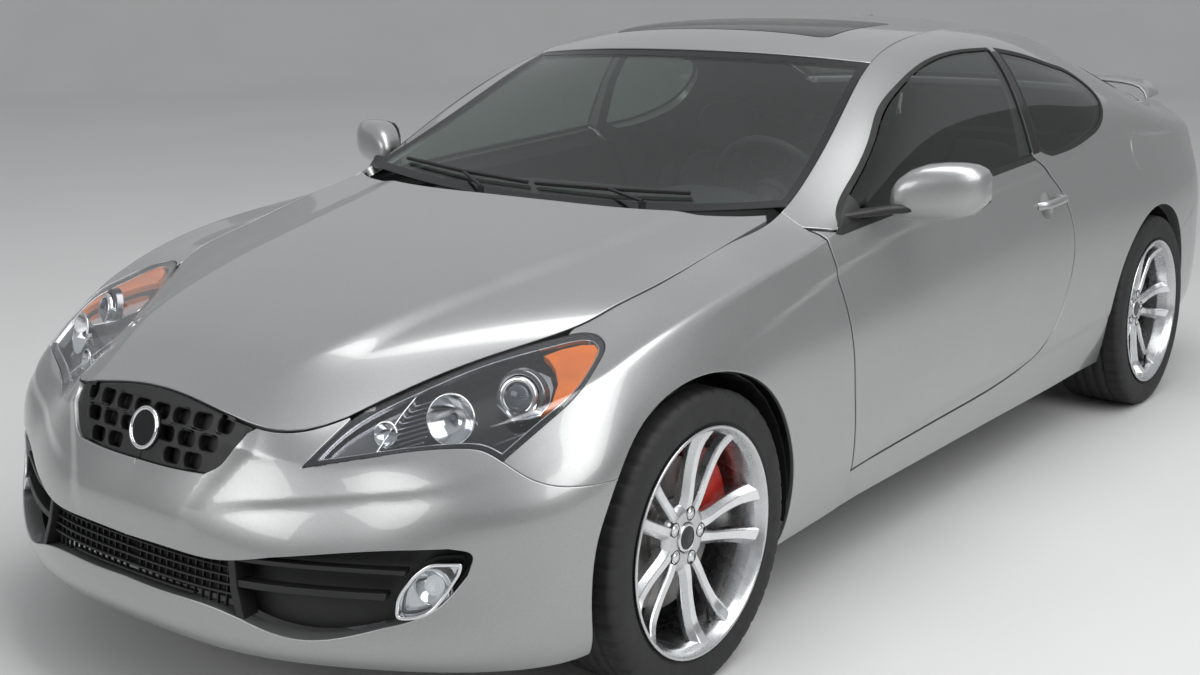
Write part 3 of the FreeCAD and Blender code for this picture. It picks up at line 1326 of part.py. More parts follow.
def make_underbody():
    """Floor, tunnel, firewall, aprons and rails: the structure that all the other pieces hang on."""
    plate = size("floor_plate")
    wide = size("sill_inner") - size("seat_gap")
    toe = sized_y(-880)
    riser = sized_y(700)
    tail = sized_y(2205)
    rear_floor = sized_z(REAR_FLOOR)
    firewall_top = sized_z(COWL_LOW) - size("seat_gap")
    tunnel = 140
    well = sized_x(600)
    rail = (sized_x(450), sized_x(540))
    tunnel_top = sized_z(405)
    pieces = [
        box((tunnel - plate, wide), (toe, riser), (FLOOR_LOW, FLOOR_TOP)),
        box((tunnel - plate, tunnel), (toe, riser), (FLOOR_LOW, tunnel_top)),
        box((0, tunnel), (toe, riser), (tunnel_top - plate, tunnel_top)),
        box((tunnel - plate, wide), (toe - plate, toe), (FLOOR_LOW, firewall_top)),
        box((0, tunnel), (toe - plate, toe), (tunnel_top - plate, firewall_top)),
        box((tunnel - plate, wide), (riser, riser + plate), (FLOOR_LOW, rear_floor)),
        box((0, well), (riser, tail), (rear_floor - plate, rear_floor)),
        box((well - plate, well), (sized_y(955), tail), (rear_floor - plate, sized_z(690))),
        box((0, well), (tail - plate, tail), (rear_floor - plate, sized_z(690))),
        box((APRON_X - plate, APRON_X), (sized_y(-1960), toe), (RAIL_LOW, sized_z(640))),
        box((APRON_X - plate, APRON_X), (sized_y(-1560), toe), (sized_z(600), sized_z(760))),
        box((APRON_X - 70, APRON_X), (sized_y(-2110), toe), (RAIL_LOW, RAIL_HIGH)),
        box((0, APRON_X - 59), (sized_y(-2150), sized_y(-2110)), (sized_z(450), RAIL_HIGH)),
        box((0, APRON_X), (sized_y(-2095), sized_y(-2040)), (sized_z(228), sized_z(250) - size("seat_gap"))),
        box((APRON_X - 50, APRON_X), (sized_y(-2095), sized_y(-2040)), (sized_z(228), RAIL_HIGH)),
        box(rail, (riser, tail), (rear_floor - REAR_RAIL, rear_floor - plate)),
        box((0, 480), (tail, tail + 30), (rear_floor - REAR_RAIL, rear_floor + 60)),
    ]
    half = pieces[0].fuse(pieces[1:])
    gap = size("seat_gap")
    nose = SIDE.slab((0, 300, 600, 880, 1165, 1375), LEVELS, -20, size("bumper_wall") + gap + 4)
    lamp = SIDE.slab((300, 450, 600, 880, 1165, 1375), LEVELS[7:], -60, size("lamp_depth") + gap + 4)
    lamp = lamp.common(tilted_prism(shrunk(LAMP_OUTLINE, -0.02), LAMP_AXIS, -200, 200))
    half = half.cut([nose, lamp])
    return half.fuse(mirrored(half)).removeSplitter()


def make_parcel_shelf():
    """The shelf under the rear window, with the pins of the trunk lid's hinges on its ears."""
    top = sized_z(932)
    shelf = box((0, sized_x(900)), (sized_y(1415), sized_y(1610)), (top - size("floor_plate"), top))
    skin = SIDE.slab((4135, 4300, 4485, 4670, 4845), LEVELS, -150, lambda v: wall_depth(v) + size("seam"))
    shelf = shelf.cut(skin)
    y, z = TRUNK_AXIS.y, TRUNK_AXIS.z
    ear = side_prism(ribbon([(y, z + 8), (y, top - 3)], 12), TRUNK_ARM_X + 8, TRUNK_ARM_X + 14)
    pin = round_rod(Vector(TRUNK_ARM_X - 8, y, z), Vector(TRUNK_ARM_X + 12, y, z), size("hinge_pin"))
    room = box((TRUNK_ARM_X - 12, TRUNK_ARM_X + 8), (y - 20, y + 300), (0, z - 20))
    half = shelf.cut(room).fuse([ear, pin])
    return half.fuse(mirrored(half))


def make_radiator():
    """The radiator, behind the intakes."""
    return bound_box("radiator", (-330, 330), (y_cells(-2095), y_cells(-2040)),
                     (z_cells(250), f"{z_cells(530)} - Sizes.seat_gap"))


ENGINE_LOW = 235.0


def make_engine():
    """The engine with its gearbox as one plain block, with the propeller shaft behind it."""
    block = bound_box("engine_casting", (-290, 290), (y_cells(-1850), y_cells(-1010)),
                      (z_cells(ENGINE_LOW), z_cells(690)))
    gearbox = bound_box("gearbox", (-110, 110), (y_cells(-1020), y_cells(-250)),
                        (z_cells(ENGINE_LOW + 10), z_cells(385)))
    final_drive = bound_box("final_drive", (-110, 110),
                            (f"{REAR_AXLE_CELLS} - 130", f"{REAR_AXLE_CELLS} + 120"),
                            (z_cells(265), z_cells(380)))
    shaft = doc.addObject("Part::Prism", "propeller_shaft")
    shaft.Polygon = 8
    shaft.Circumradius = 32
    shaft.Placement = FreeCAD.Placement(Vector(), FreeCAD.Rotation(Vector(1, 0, 0), -90))
    bind_place(shaft, 0, y_cells(-260), z_cells(325))
    bind(shaft, Height=f"{REAR_AXLE_CELLS} - 120 - ({y_cells(-260)})")
    return fused("engine_block", [block, gearbox, final_drive, shaft])


FRONT_WHEEL = Vector(size("front_track") / 2, FRONT_AXLE, size("front_tyre_radius"))
REAR_WHEEL = Vector(size("rear_track") / 2, REAR_AXLE, size("rear_tyre_radius"))
KINGPIN_X = FRONT_WHEEL.x - size("kingpin_offset")
ARM_RISE = 150.0
ARM_THICK = 22.0


def make_front_suspension():
    """The front subframe with an upper and a lower arm each side, a spring strut and the steering rack."""
    z = FRONT_WHEEL.z
    frame = box((0, 400), (FRONT_AXLE - 90, FRONT_AXLE + 90), (150, 190))
    pieces = []
    for rise in (-ARM_RISE, ARM_RISE):
        middle = z + rise
        outline = [(385, FRONT_AXLE - 140), (385, FRONT_AXLE + 140), (410, FRONT_AXLE + 140),
                   (KINGPIN_X - 60, FRONT_AXLE + 24),
                   (KINGPIN_X, FRONT_AXLE + 20), (KINGPIN_X + 12, FRONT_AXLE + 9),
                   (KINGPIN_X + 12, FRONT_AXLE - 9),
                   (KINGPIN_X, FRONT_AXLE - 20), (KINGPIN_X - 60, FRONT_AXLE - 24),
                   (410, FRONT_AXLE - 140)]
        arm = plan_prism(outline, middle - ARM_THICK / 2, middle + ARM_THICK / 2)
        window = [(430, FRONT_AXLE - 90), (430, FRONT_AXLE + 90), (KINGPIN_X - 110, FRONT_AXLE + 18),
                  (KINGPIN_X - 110, FRONT_AXLE - 18)]
        arm = arm.cut(plan_prism(window, 0, 1000))
        pieces.append(arm)
    post = box((385, 420), (FRONT_AXLE - 60, FRONT_AXLE + 60), (160, z + ARM_RISE + 10))
    strut = rod(Vector(455, FRONT_AXLE, 190), Vector(455, FRONT_AXLE, RAIL_LOW - size("seat_gap")), 38, 12)
    frame = frame.fuse(pieces + [post, strut])
    bore = bore_rod(Vector(KINGPIN_X, FRONT_AXLE, 0), Vector(KINGPIN_X, FRONT_AXLE, 1000),
                    size("kingpin_radius"))
    frame = frame.cut(bore)
    seat = box((0, 420), (FRONT_AXLE - 45, FRONT_AXLE + 45), (185, sized_z(ENGINE_LOW) - size("seat_gap")))
    half = frame.fuse(seat)
    return half.fuse(mirrored(half))


def disc_face(wheel):
    """Where the outer face of a wheel's brake disc lies, along the axle."""
    return wheel.x + size("hub_offset") - 31


def make_knuckle():
    """The left front knuckle: an upright with its two steering pins, the spindle and the brake caliper."""
    z = FRONT_WHEEL.z
    x = KINGPIN_X
    gap = size("seat_gap")
    reach = ARM_RISE - ARM_THICK / 2 - gap
    upright = box((x - 30, x + 14), (FRONT_AXLE - 36, FRONT_AXLE + 36), (z - reach, z + reach))
    rise = ARM_RISE + ARM_THICK / 2
    pins = round_rod(Vector(x, FRONT_AXLE, z - rise), Vector(x, FRONT_AXLE, z + rise), size("kingpin_radius"))
    face = FRONT_WHEEL.x + size("hub_offset")
    spindle = round_rod(Vector(x, FRONT_AXLE, z), Vector(face - 6, FRONT_AXLE, z), size("spindle_radius"))
    return upright.fuse([pins, spindle, make_caliper(FRONT_WHEEL)])


CALIPER_ANGLES = (8, 62)


def make_caliper(wheel):
    """The brake caliper over the upper rear of a disc, with the bracket to the part that carries it."""
    outer_face = disc_face(wheel)
    inner_face = outer_face - size("disc_width")
    low = inner_face - 35
    body = side_prism(sector(wheel, 112, 205, CALIPER_ANGLES[0], CALIPER_ANGLES[1], 5), low, outer_face + 17)
    slot = side_prism(sector(wheel, 90, size("disc_radius") + 8, -10, 80, 6), inner_face - 5, outer_face + 5)
    bracket = side_prism([(wheel.y, wheel.z - 20), (wheel.y, wheel.z + 80), (wheel.y + 100, wheel.z + 120),
                          (wheel.y + 150, wheel.z + 60), (wheel.y + 30, wheel.z - 20)], low, low + 20)
    return body.cut(slot).fuse(bracket)


def make_rear_suspension():
    """The rear subframe with two links each side, the hub carriers with their spindles, and the calipers."""
    z = REAR_WHEEL.z
    tube = (sized_z(255), sized_z(290))
    frame = box((0, 380), (REAR_AXLE - 200, REAR_AXLE - 140), tube)
    frame = frame.fuse([box((0, 380), (REAR_AXLE + 130, REAR_AXLE + 190), tube),
                        box((330, 380), (REAR_AXLE - 200, REAR_AXLE + 190), (sized_z(235), sized_z(320)))])
    x = REAR_WHEEL.x - 45
    carrier = box((x - 25, x + 15), (REAR_AXLE - 50, REAR_AXLE + 50), (z - 120, z + 120))
    face = REAR_WHEEL.x + size("hub_offset")
    spindle = round_rod(Vector(x, REAR_AXLE, z), Vector(face - 6, REAR_AXLE, z), size("spindle_radius"))
    links = [rod(Vector(360, REAR_AXLE - 110, sized_z(285)), Vector(x, REAR_AXLE - 25, z - 90), 14),
             rod(Vector(360, REAR_AXLE + 110, sized_z(285)), Vector(x, REAR_AXLE + 25, z - 90), 14),
             rod(Vector(360, REAR_AXLE, sized_z(290)), Vector(x, REAR_AXLE, z - 4), 14)]
    half = frame.fuse([carrier, spindle, make_caliper(REAR_WHEEL)] + links)
    pad_top = sized_z(REAR_FLOOR) - REAR_RAIL - size("seat_gap")
    pad = box((sized_x(450), sized_x(540)), (REAR_AXLE - 195, REAR_AXLE - 150), (sized_z(300), pad_top))
    tie = box((370, sized_x(540)), (REAR_AXLE - 195, REAR_AXLE - 150), (sized_z(280), sized_z(310)))
    half = half.fuse([pad, tie])
    return half.fuse(mirrored(half))


TIP_SIDES = 20


def make_exhaust():
    """The exhaust: a pipe through the tunnel, a cross silencer at the tail and two tailpipes."""
    radius = size("exhaust_pipe")
    x = sized_x(470)
    z = sized_z(262)
    low = sized_z(250)
    back_z = sized_z(222)
    pipe = rod(Vector(0, sized_y(-230), low), Vector(0, sized_y(600), low), radius)
    bend = rod(Vector(0, sized_y(590), low), Vector(-230, sized_y(900), back_z), radius - 4)
    back = rod(Vector(-230, sized_y(890), back_z), Vector(-230, sized_y(1900), back_z), radius - 4)
    silencer = box((-330, 330), (sized_y(1880), sized_y(2110)), (sized_z(210), sized_z(318)))
    hanger_top = sized_z(REAR_FLOOR) - size("floor_plate") - size("seat_gap")
    hanger = box((-20, 20), (sized_y(1980), sized_y(1986)), (sized_z(310), hanger_top))
    half = rod(Vector(300, sized_y(2060), z + 6), Vector(x, sized_y(2150), z), radius)
    tip = rod(Vector(x, sized_y(2130), z), Vector(x, sized_y(2290), z), size("tailpipe"), TIP_SIDES)
    hollow = rod(Vector(x, sized_y(2170), z), Vector(x, sized_y(2300), z), size("tailpipe") - 3, TIP_SIDES)
    tip = tip.cut(hollow)
    side = half.fuse(tip)
    return pipe.fuse([bend, back, silencer, hanger, side, mirrored(side)])


LINER_SIDES = 15


def make_liner(axle, radius, wheel_radius, low, high):
    """The liner of a wheel arch on the left: a half ring inside the arch's lip, in flat steps."""
    outer = radius - size("seam")
    middle = Vector(0, axle, wheel_radius)
    return side_prism(sector(middle, outer - size("liner"), outer, -10, 190, LINER_SIDES), low, high)


def make_wheel_liners():
    """The four wheel liners, as half rings that end just inside the skins."""
    front = make_liner(FRONT_AXLE, size("front_arch_radius"), size("front_tyre_radius"), 508, sized_x(892))
    rear = make_liner(REAR_AXLE, size("rear_arch_radius"), size("rear_tyre_radius"), 608, sized_x(892))
    front = front.cut(SIDE.slab((880, 1060, 1270, 1480, 1850, 2110), LEVELS[1:-2:2], -60, 3))
    rear = rear.cut(SIDE.slab((3770, 4135, 4485, 4845), LEVELS[1:-2:2], -60, 3))
    return Part.makeCompound([front, mirrored(front), rear, mirrored(rear)])


# Wheels

RIM_SIDES = 30
HUB_SIDES = 20


BEAD_INSET = 10
SIDEWALL_RISE = 31
TREAD_SHARE = 0.84


def make_tyre(end, axle):
    """A low left tyre, turned round its axle."""
    half = f"Sizes.{end}_tyre_width / 2"
    radius = f"Sizes.{end}_tyre_radius"
    bead = "Sizes.bead_radius + Sizes.seat_gap"
    flank = f"Sizes.rim_lip_radius + {SIDEWALL_RISE}"
    profile = [(f"{half} - {BEAD_INSET}", bead), (f"{half} - 1", flank), (f"{half} * {TREAD_SHARE}", radius),
               (f"-{half} * {TREAD_SHARE}", radius), (f"1 - {half}", flank), (f"{BEAD_INSET} - {half}", bead)]
    return turned_body(f"tyre_{end}_left", profile, (f"Sizes.{end}_track / 2", axle, radius))


def make_rim(wheel, width):
    """A rim with five pairs of spokes, fused with its hub and its brake disc."""
    bead = size("bead_radius")
    inner = size("barrel_radius")
    lip = size("rim_lip_radius")
    half = width / 2
    profile = [(half, lip), (half, lip - 8), (half - 30, inner + 4), (-half + 6, inner), (-half, lip - 6),
               (-half, lip),
               (-half + 7, lip), (-half + 9, bead), (half - 9, bead), (half - 7, lip)]
    rim = turned(profile, RIM_SIDES)
    rim.translate(wheel)
    face = wheel.x + size("hub_offset")
    rotor = disc_face(wheel)
    disc = size("disc_width")
    centre = turned([(rotor - disc - wheel.x, 70), (rotor - disc - wheel.x, size("disc_radius")),
                     (rotor - wheel.x, size("disc_radius")), (rotor - wheel.x, 76), (face + 22 - wheel.x, 76),
                     (face + 22 - wheel.x, 2), (rotor - 4 - wheel.x, 2), (rotor - 4 - wheel.x, 70)],
                    HUB_SIDES)
    centre.translate(wheel)
    cap = rod(Vector(face, wheel.y, wheel.z), Vector(face + 26, wheel.y, wheel.z), 34, 12)
    count = int(size("spoke_pairs"))
    outer_x = wheel.x + half - 12
    spokes = []
    for index in range(count):
        for side in (-1, 1):
            # columns: distance from the axis, place of the spoke's face, half its width, its depth
            stations = ((60, face + 20, 20, 26), (150, face + 22, 15, 26), (223, outer_x, 19, 30))
            sections = []
            for reach, front, half_width, depth in stations:
                shift = side * (14 + reach * 0.17)
                sections.append([Vector(front, shift - half_width, reach),
                                 Vector(front, shift + half_width, reach),
                                 Vector(front - depth, shift + half_width * 0.7, reach),
                                 Vector(front - depth, shift - half_width * 0.7, reach)])
            spoke = flat_loft(sections)
            spoke.translate(Vector(0, wheel.y, wheel.z))
            spoke.rotate(wheel, Vector(1, 0, 0), 360 * index / count)
            spokes.append(spoke)
    rim = rim.fuse([centre, cap] + spokes)
    bore = round_rod(Vector(rotor - 100, wheel.y, wheel.z), Vector(face - 4, wheel.y, wheel.z),
                     size("spindle_radius") + size("seat_gap"))
    return rim.cut(bore)


def make_wipers():
    """Two wipers parked at the foot of the windshield, each an arm from its pivot in the cowl and a blade."""
    pieces = []
    # columns: x of the pivot, x of the blade's ends
    for pivot, start, end in ((330, 420, -90), (-230, -120, -620)):
        pieces.append(make_wiper(pivot, start, end))
    return Part.makeCompound(pieces)


def windshield_spot(x, share, lift):
    """A point over the windshield, at a distance from the middle and a share of the way up."""
    rows = WINDSHIELD.rows
    u = rows[0] + (rows[-1] - rows[0]) * share
    edge = WINDSHIELD.point(u, 1, 0).x
    return WINDSHIELD.point(u, x / edge, -lift)


def make_wiper(pivot, start, end):
    """One wiper."""
    foot = Vector(sized_x(pivot), sized_y(-930), sized_z(864))
    knee = Vector(sized_x(pivot), sized_y(-925), windshield_spot(pivot, 0.02, 0).z + 22)
    middle = windshield_spot(sized_x((start + end) / 2), 0.10, 14)
    blade_start = windshield_spot(sized_x(start), 0.10, 10)
    blade_end = windshield_spot(sized_x(end), 0.10, 10)
    post = rod(foot, knee, 10)
    arm = rod(knee, middle, 5, 6)
    wiper = post.fuse([arm, rod(blade_start, middle, 6, 6), rod(middle, blade_end, 6, 6)])
    gap = size("seat_gap")
    seat = [(y, z + gap) for y, z in sized_side(COWL_TOP)] + [(sized_y(-828), 500), (sized_y(-1012), 500)]
    return wiper.cut(side_prism(seat, -800, 800))


# The whole car

def build():
    """Make every piece of the car."""
    side = make_body_side()
    brackets = make_hinge_brackets()
    side = side.fuse(brackets)
    pair("body_side", side)
    fender = make_front_fender()
    node("front_fenders", both(fender))
    node("front_bumper", make_front_bumper())
    node("rear_bumper", make_rear_bumper())
    node("hood", make_hood())
    node("cowl_panel", make_cowl())
    node("roof_panel", make_roof())
    node("sunroof_glass", make_sunroof())
    node("trunk_lid", make_trunk_lid())
    node("rear_wing", make_rear_wing())
    node("windshield", make_pane(WINDSHIELD, 2150, 2782))
    node("rear_window", make_pane(REAR_WINDOW, 4068, 4592))
    quarter_stations = (3460, 3570, 3770, 3970, 4100)
    node("quarter_glass", both(window_pane(grown(quarter_window, -size("seam")), quarter_stations)))
    node("headlamps", both(make_headlamp()))
    node("tail_lamps", both(make_tail_lamp()))
    node("fog_lamps", both(make_fog_lamp()))
    node("upper_grille", make_upper_grille())
    node("lower_grilles", make_lower_grille())
    pair("door", make_door())
    pair("door_glass", make_door_glass())
    pair("mirror", make_mirror())
    named("front_seats", make_front_seats())
    named("rear_seat", make_rear_seat())
    named("dashboard", make_dashboard())
    node("steering_wheel", make_steering_wheel())
    node("underbody", make_underbody())
    node("parcel_shelf", make_parcel_shelf())
    named("radiator", make_radiator())
    named("engine_block", make_engine())
    node("front_suspension", make_front_suspension())
    node("rear_suspension", make_rear_suspension())
    node("exhaust", make_exhaust())
    node("wheel_liners", make_wheel_liners())
    node("wipers", make_wipers())
    pair("knuckle", make_knuckle())
    for end, wheel, axle, width in (("front", FRONT_WHEEL, FRONT_AXLE_CELLS, size("front_tyre_width")),
                                    ("rear", REAR_WHEEL, REAR_AXLE_CELLS, size("rear_tyre_width"))):
        tyre = named(f"tyre_{end}_left", make_tyre(end, axle))
        named(f"tyre_{end}_right", mirror_object(f"tyre_{end}_right", tyre))
        pair(f"rim_{end}", make_rim(wheel, width))


def check_and_write():
    """Check every piece, then write each as a STEP file."""
    doc.recompute()
    for item in doc.Objects:
        if "Invalid" in item.State or "Error" in item.State:
            raise RuntimeError(f"{item.Label} could not be made: {item.State}")
    for piece in nodes:
        if piece.Shape.isNull() or not piece.Shape.isValid():
            raise RuntimeError(f"{piece.Label} has no valid shape")
    os.makedirs("parts", exist_ok=True)
    for piece in nodes:
        piece.Shape.exportStep(f"parts/{piece.Label}.step")
        facets = len(piece.Shape.tessellate(0.5)[1])
        volume = piece.Shape.Volume / 1e6
        print(f"{piece.Label}: {len(piece.Shape.Solids)} solids, {facets} facets, {volume:.2f} litres")


build()
check_and_write()
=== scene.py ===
import math
import bpy
import numpy as np
from mathutils import Matrix, Vector
from mathutils.geometry import delaunay_2d_cdt


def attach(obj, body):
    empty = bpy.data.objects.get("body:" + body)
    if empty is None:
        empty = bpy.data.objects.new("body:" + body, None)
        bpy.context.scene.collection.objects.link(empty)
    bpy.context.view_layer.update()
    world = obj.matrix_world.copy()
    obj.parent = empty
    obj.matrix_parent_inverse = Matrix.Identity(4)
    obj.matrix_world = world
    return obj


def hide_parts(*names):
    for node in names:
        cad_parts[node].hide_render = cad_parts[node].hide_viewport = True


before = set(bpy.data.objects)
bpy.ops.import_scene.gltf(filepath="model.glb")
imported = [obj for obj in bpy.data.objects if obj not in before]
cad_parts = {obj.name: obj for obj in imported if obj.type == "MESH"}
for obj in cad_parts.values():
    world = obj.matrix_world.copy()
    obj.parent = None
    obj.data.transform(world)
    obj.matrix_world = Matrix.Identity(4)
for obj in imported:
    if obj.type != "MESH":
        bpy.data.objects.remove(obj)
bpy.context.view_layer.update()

MM = 0.001
FACING_UP = 1e4  # outweighs a point's own place where a skin's outward side is the upper one
HALF_ROOF = 650.0  # the width that v from 0 to 1 stands for on a top skin
SEARCH_GRID = (161, 41)  # samples along u and v from which a search on a skin starts
SEARCH_PASSES = 12
LONGEST_MOVE = 60.0  # in one pass of a search
SAME_PLACE = 1e-6  # points nearer than this are one point

# The tables are in millimetres, as in the solid model: +Z up, the nose towards -Y, the left side at +X.


# Splines and surfaces

def bends(knots):
    """Second derivatives of the natural cubic through values at the knots, as a matrix on the values."""
    count = len(knots)
    gaps = np.diff(knots)
    left, right = np.eye(count), np.zeros((count, count))
    for i in range(1, count - 1):
        before, after = gaps[i - 1], gaps[i]
        left[i, i - 1:i + 2] = before, 2 * (before + after), after
        right[i, i - 1:i + 2] = 6 / before, -6 / before - 6 / after, 6 / after
    return np.linalg.solve(left, right)


def weights(knots, second, at, slope=False):
    """How much of each knot's value the natural cubic has at each place, or its slope there."""
    k = np.clip(np.searchsorted(knots, at, side="right") - 1, 0, len(knots) - 2)
    gap = knots[k + 1] - knots[k]
    a = (knots[k + 1] - at) / gap
    b = 1 - a
    rows = np.arange(len(at))
    result = np.zeros((len(at), len(knots)))
    if slope:
        result[rows, k] -= 1 / gap
        result[rows, k + 1] += 1 / gap
        low, high = -(3 * a * a - 1) * gap / 6, (3 * b * b - 1) * gap / 6
    else:
        result[rows, k] += a
        result[rows, k + 1] += b
        low, high = (a ** 3 - a) * gap ** 2 / 6, (b ** 3 - b) * gap ** 2 / 6
    return result + low[:, None] * second[k] + high[:, None] * second[k + 1]


def unit(vectors):
    """The vectors, each with length 1."""
    return vectors / np.maximum(np.linalg.norm(vectors, axis=-1, keepdims=True), 1e-12)


class Skin:
    """An outer surface of the body."""

    def __init__(self, rows, columns, grid, outward, relief=None):
        self.u = np.array(rows, float)
        self.v = np.array(columns, float)
        self.grid = np.array(grid, float)
        self.bends_u = bends(self.u)
        self.bends_v = bends(self.v)
        self.outward = np.array(outward, float)
        self.relief = relief

    def mix(self, uv, slope_u=False, slope_v=False):
        """Points or slopes of the surface."""
        across = weights(self.u, self.bends_u, uv[:, 0], slope_u)
        up = weights(self.v, self.bends_v, uv[:, 1], slope_v)
        return np.einsum("pi,ijk,pj->pk", across, self.grid, up, optimize=True)

    def place(self, uv):
        """Points, outward unit normals, and 1 or -1 for the side of the (u, v) plane that the normals are on."""
        uv = np.atleast_2d(np.asarray(uv, float))
        points = self.mix(uv)
        along, up = self.mix(uv, slope_u=True), self.mix(uv, slope_v=True)
        crossed = np.cross(along, up)
        outward = points * self.outward + (0, 0, FACING_UP * self.outward[2])
        hand = np.where((crossed * outward).sum(1) >= 0, 1.0, -1.0)
        normals = unit(crossed) * hand[:, None]
        if self.relief is not None:
            du, dv = [(self.relief(uv + step) - self.relief(uv - step)) / (2 * step.sum())
                      for step in np.diag([1.0, 1.0 / self.v_scale()])]
            points = points + normals * self.relief(uv)[:, None]
            crossed = np.cross(along + normals * du[:, None], up + normals * dv[:, None])
            normals = unit(crossed) * hand[:, None]
        return points, normals, hand[0]

    def v_scale(self):
        """About how many millimetres one unit of v is."""
        return 1.0 if self.v[-1] > 10 else HALF_ROOF

    def find(self, targets, view, u_range=None, v_range=None):
        """The (u, v) whose points, seen in a flat view, are the targets."""
        targets = np.asarray(targets, float)
        view = np.asarray(view, float)
        low_u, high_u = u_range or (self.u[0], self.u[-1])
        low_v, high_v = v_range or (self.v[0], self.v[-1])
        us, vs = np.linspace(low_u, high_u, SEARCH_GRID[0]), np.linspace(low_v, high_v, SEARCH_GRID[1])
        samples = np.stack(np.meshgrid(us, vs, indexing="ij"), -1).reshape(-1, 2)
        seen = self.mix(samples) @ view.T
        nearest = [np.argmin(((seen - target) ** 2).sum(1)) for target in targets]
        uv = samples[nearest].copy()
        for _ in range(SEARCH_PASSES):
            miss = targets - self.mix(uv) @ view.T
            a, b = self.mix(uv, slope_u=True) @ view.T, self.mix(uv, slope_v=True) @ view.T
            det = a[:, 0] * b[:, 1] - a[:, 1] * b[:, 0]
            det = np.where(np.abs(det) < 1e-9, 1e-9, det)
            du = (miss[:, 0] * b[:, 1] - miss[:, 1] * b[:, 0]) / det
            dv = (a[:, 0] * miss[:, 1] - a[:, 1] * miss[:, 0]) / det
            reach = LONGEST_MOVE
            uv[:, 0] = np.clip(uv[:, 0] + np.clip(du, -reach, reach), low_u, high_u)
            reach /= self.v_scale()
            uv[:, 1] = np.clip(uv[:, 1] + np.clip(dv, -reach, reach), low_v, high_v)
        return uv


SIDE_VIEW = ((0, 1, 0), (0, 0, 1))
PLAN_VIEW = ((1, 0, 0), (0, 1, 0))
FRONT_VIEW = ((1, 0, 0), (0, 0, 1))


def view_along(direction):
    """The flat view along a direction."""
    along = unit(np.array(direction, float))
    across = unit(np.cross(along, (0, 0, 1)))
    return np.array([across, np.cross(across, along)])


# The body side, drawn from the middle of the nose round to the middle of the tail.
# columns: distance round the car, then x, y, z of eight lines from the sill up

SIDE_LINES = (0, 95, 185, 345, 535, 725, 1000, 1110)
SIDE_ROWS = (
    (0, (0, -2285, 200), (0, -2313, 250), (0, -2303, 335), (0, -2290, 440),
     (0, -2258, 530), (0, -2230, 610), (0, -2210, 655), (0, -2196, 682)),
    (300, (300, -2262, 197), (300, -2290, 248), (300, -2282, 335), (300, -2268, 435),
     (300, -2238, 520), (300, -2214, 582), (300, -2200, 615), (297, -2184, 642)),
    (600, (545, -2160, 192), (560, -2188, 243), (560, -2178, 330), (560, -2160, 430),
     (550, -2130, 520), (515, -2112, 580), (465, -2080, 618), (421, -2044, 655)),
    (880, (755, -2015, 190), (775, -2040, 243), (780, -2035, 330), (775, -2035, 430),
     (765, -2030, 530), (715, -1995, 625), (630, -1900, 690), (546, -1800, 738)),
    (1060, (850, -1885, 190), (872, -1900, 245), (880, -1900, 330), (880, -1895, 440),
     (872, -1885, 560), (820, -1830, 680), (745, -1740, 740), (650, -1640, 785)),
    (1270, (870, -1700, 195), (893, -1700, 250), (903, -1700, 340), (908, -1700, 450),
     (905, -1700, 590), (862, -1680, 730), (785, -1600, 788), (690, -1520, 822)),
    (1480, (878, -1490, 200), (898, -1490, 255), (912, -1490, 350), (922, -1490, 480),
     (925, -1490, 630), (882, -1490, 780), (805, -1440, 828), (706, -1380, 850)),
    (1850, (872, -1120, 205), (892, -1120, 260), (908, -1120, 360), (918, -1120, 500),
     (915, -1120, 680), (874, -1120, 835), (812, -1110, 882), (722, -1090, 912)),
    (2110, (862, -860, 205), (884, -860, 270), (902, -860, 370), (912, -860, 520),
     (908, -860, 700), (860, -860, 875), (802, -872, 920), (728, -905, 950)),
    (2470, (858, -500, 205), (880, -500, 290), (900, -500, 380), (912, -500, 530),
     (908, -500, 720), (858, -500, 922), (755, -500, 1108), (660, -510, 1130)),
    (2820, (857, -150, 205), (878, -150, 300), (896, -150, 390), (912, -150, 540),
     (908, -150, 740), (860, -150, 940), (698, -150, 1256), (590, -170, 1290)),
    (3170, (857, 200, 205), (878, 200, 300), (896, 200, 392), (912, 200, 545),
     (909, 200, 750), (860, 200, 958), (672, 200, 1312), (562, 200, 1350)),
    (3570, (860, 600, 207), (882, 600, 305), (900, 600, 395), (916, 600, 560),
     (914, 600, 765), (866, 600, 978), (682, 600, 1295), (560, 600, 1350)),
    (3970, (868, 1000, 215), (895, 1000, 300), (912, 1000, 400), (926, 1000, 560),
     (927, 1000, 765), (880, 1000, 985), (722, 1000, 1205), (575, 1000, 1300)),
    (4300, (878, 1330, 215), (905, 1330, 300), (920, 1330, 400), (932, 1330, 560),
     (932, 1330, 760), (885, 1330, 950), (770, 1330, 1105), (615, 1330, 1195)),
    (4670, (862, 1700, 225), (890, 1700, 300), (905, 1700, 400), (915, 1700, 560),
     (914, 1700, 750), (872, 1700, 915), (775, 1700, 1025), (665, 1700, 1080)),
    (5020, (800, 2030, 235), (830, 2045, 300), (845, 2050, 400), (850, 2050, 560),
     (845, 2040, 740), (812, 2030, 890), (752, 2020, 980), (675, 2010, 1030)),
    (5290, (640, 2215, 240), (665, 2240, 300), (680, 2250, 400), (685, 2250, 560),
     (685, 2225, 740), (675, 2190, 890), (650, 2172, 975), (615, 2150, 1015)),
    (5600, (350, 2275, 245), (350, 2300, 300), (350, 2308, 400), (350, 2305, 560),
     (350, 2270, 740), (350, 2232, 890), (350, 2215, 975), (345, 2190, 1020)),
    (5950, (0, 2285, 245), (0, 2310, 300), (0, 2315, 400), (0, 2313, 560),
     (0, 2280, 740), (0, 2242, 890), (0, 2225, 975), (0, 2200, 1022)),
)


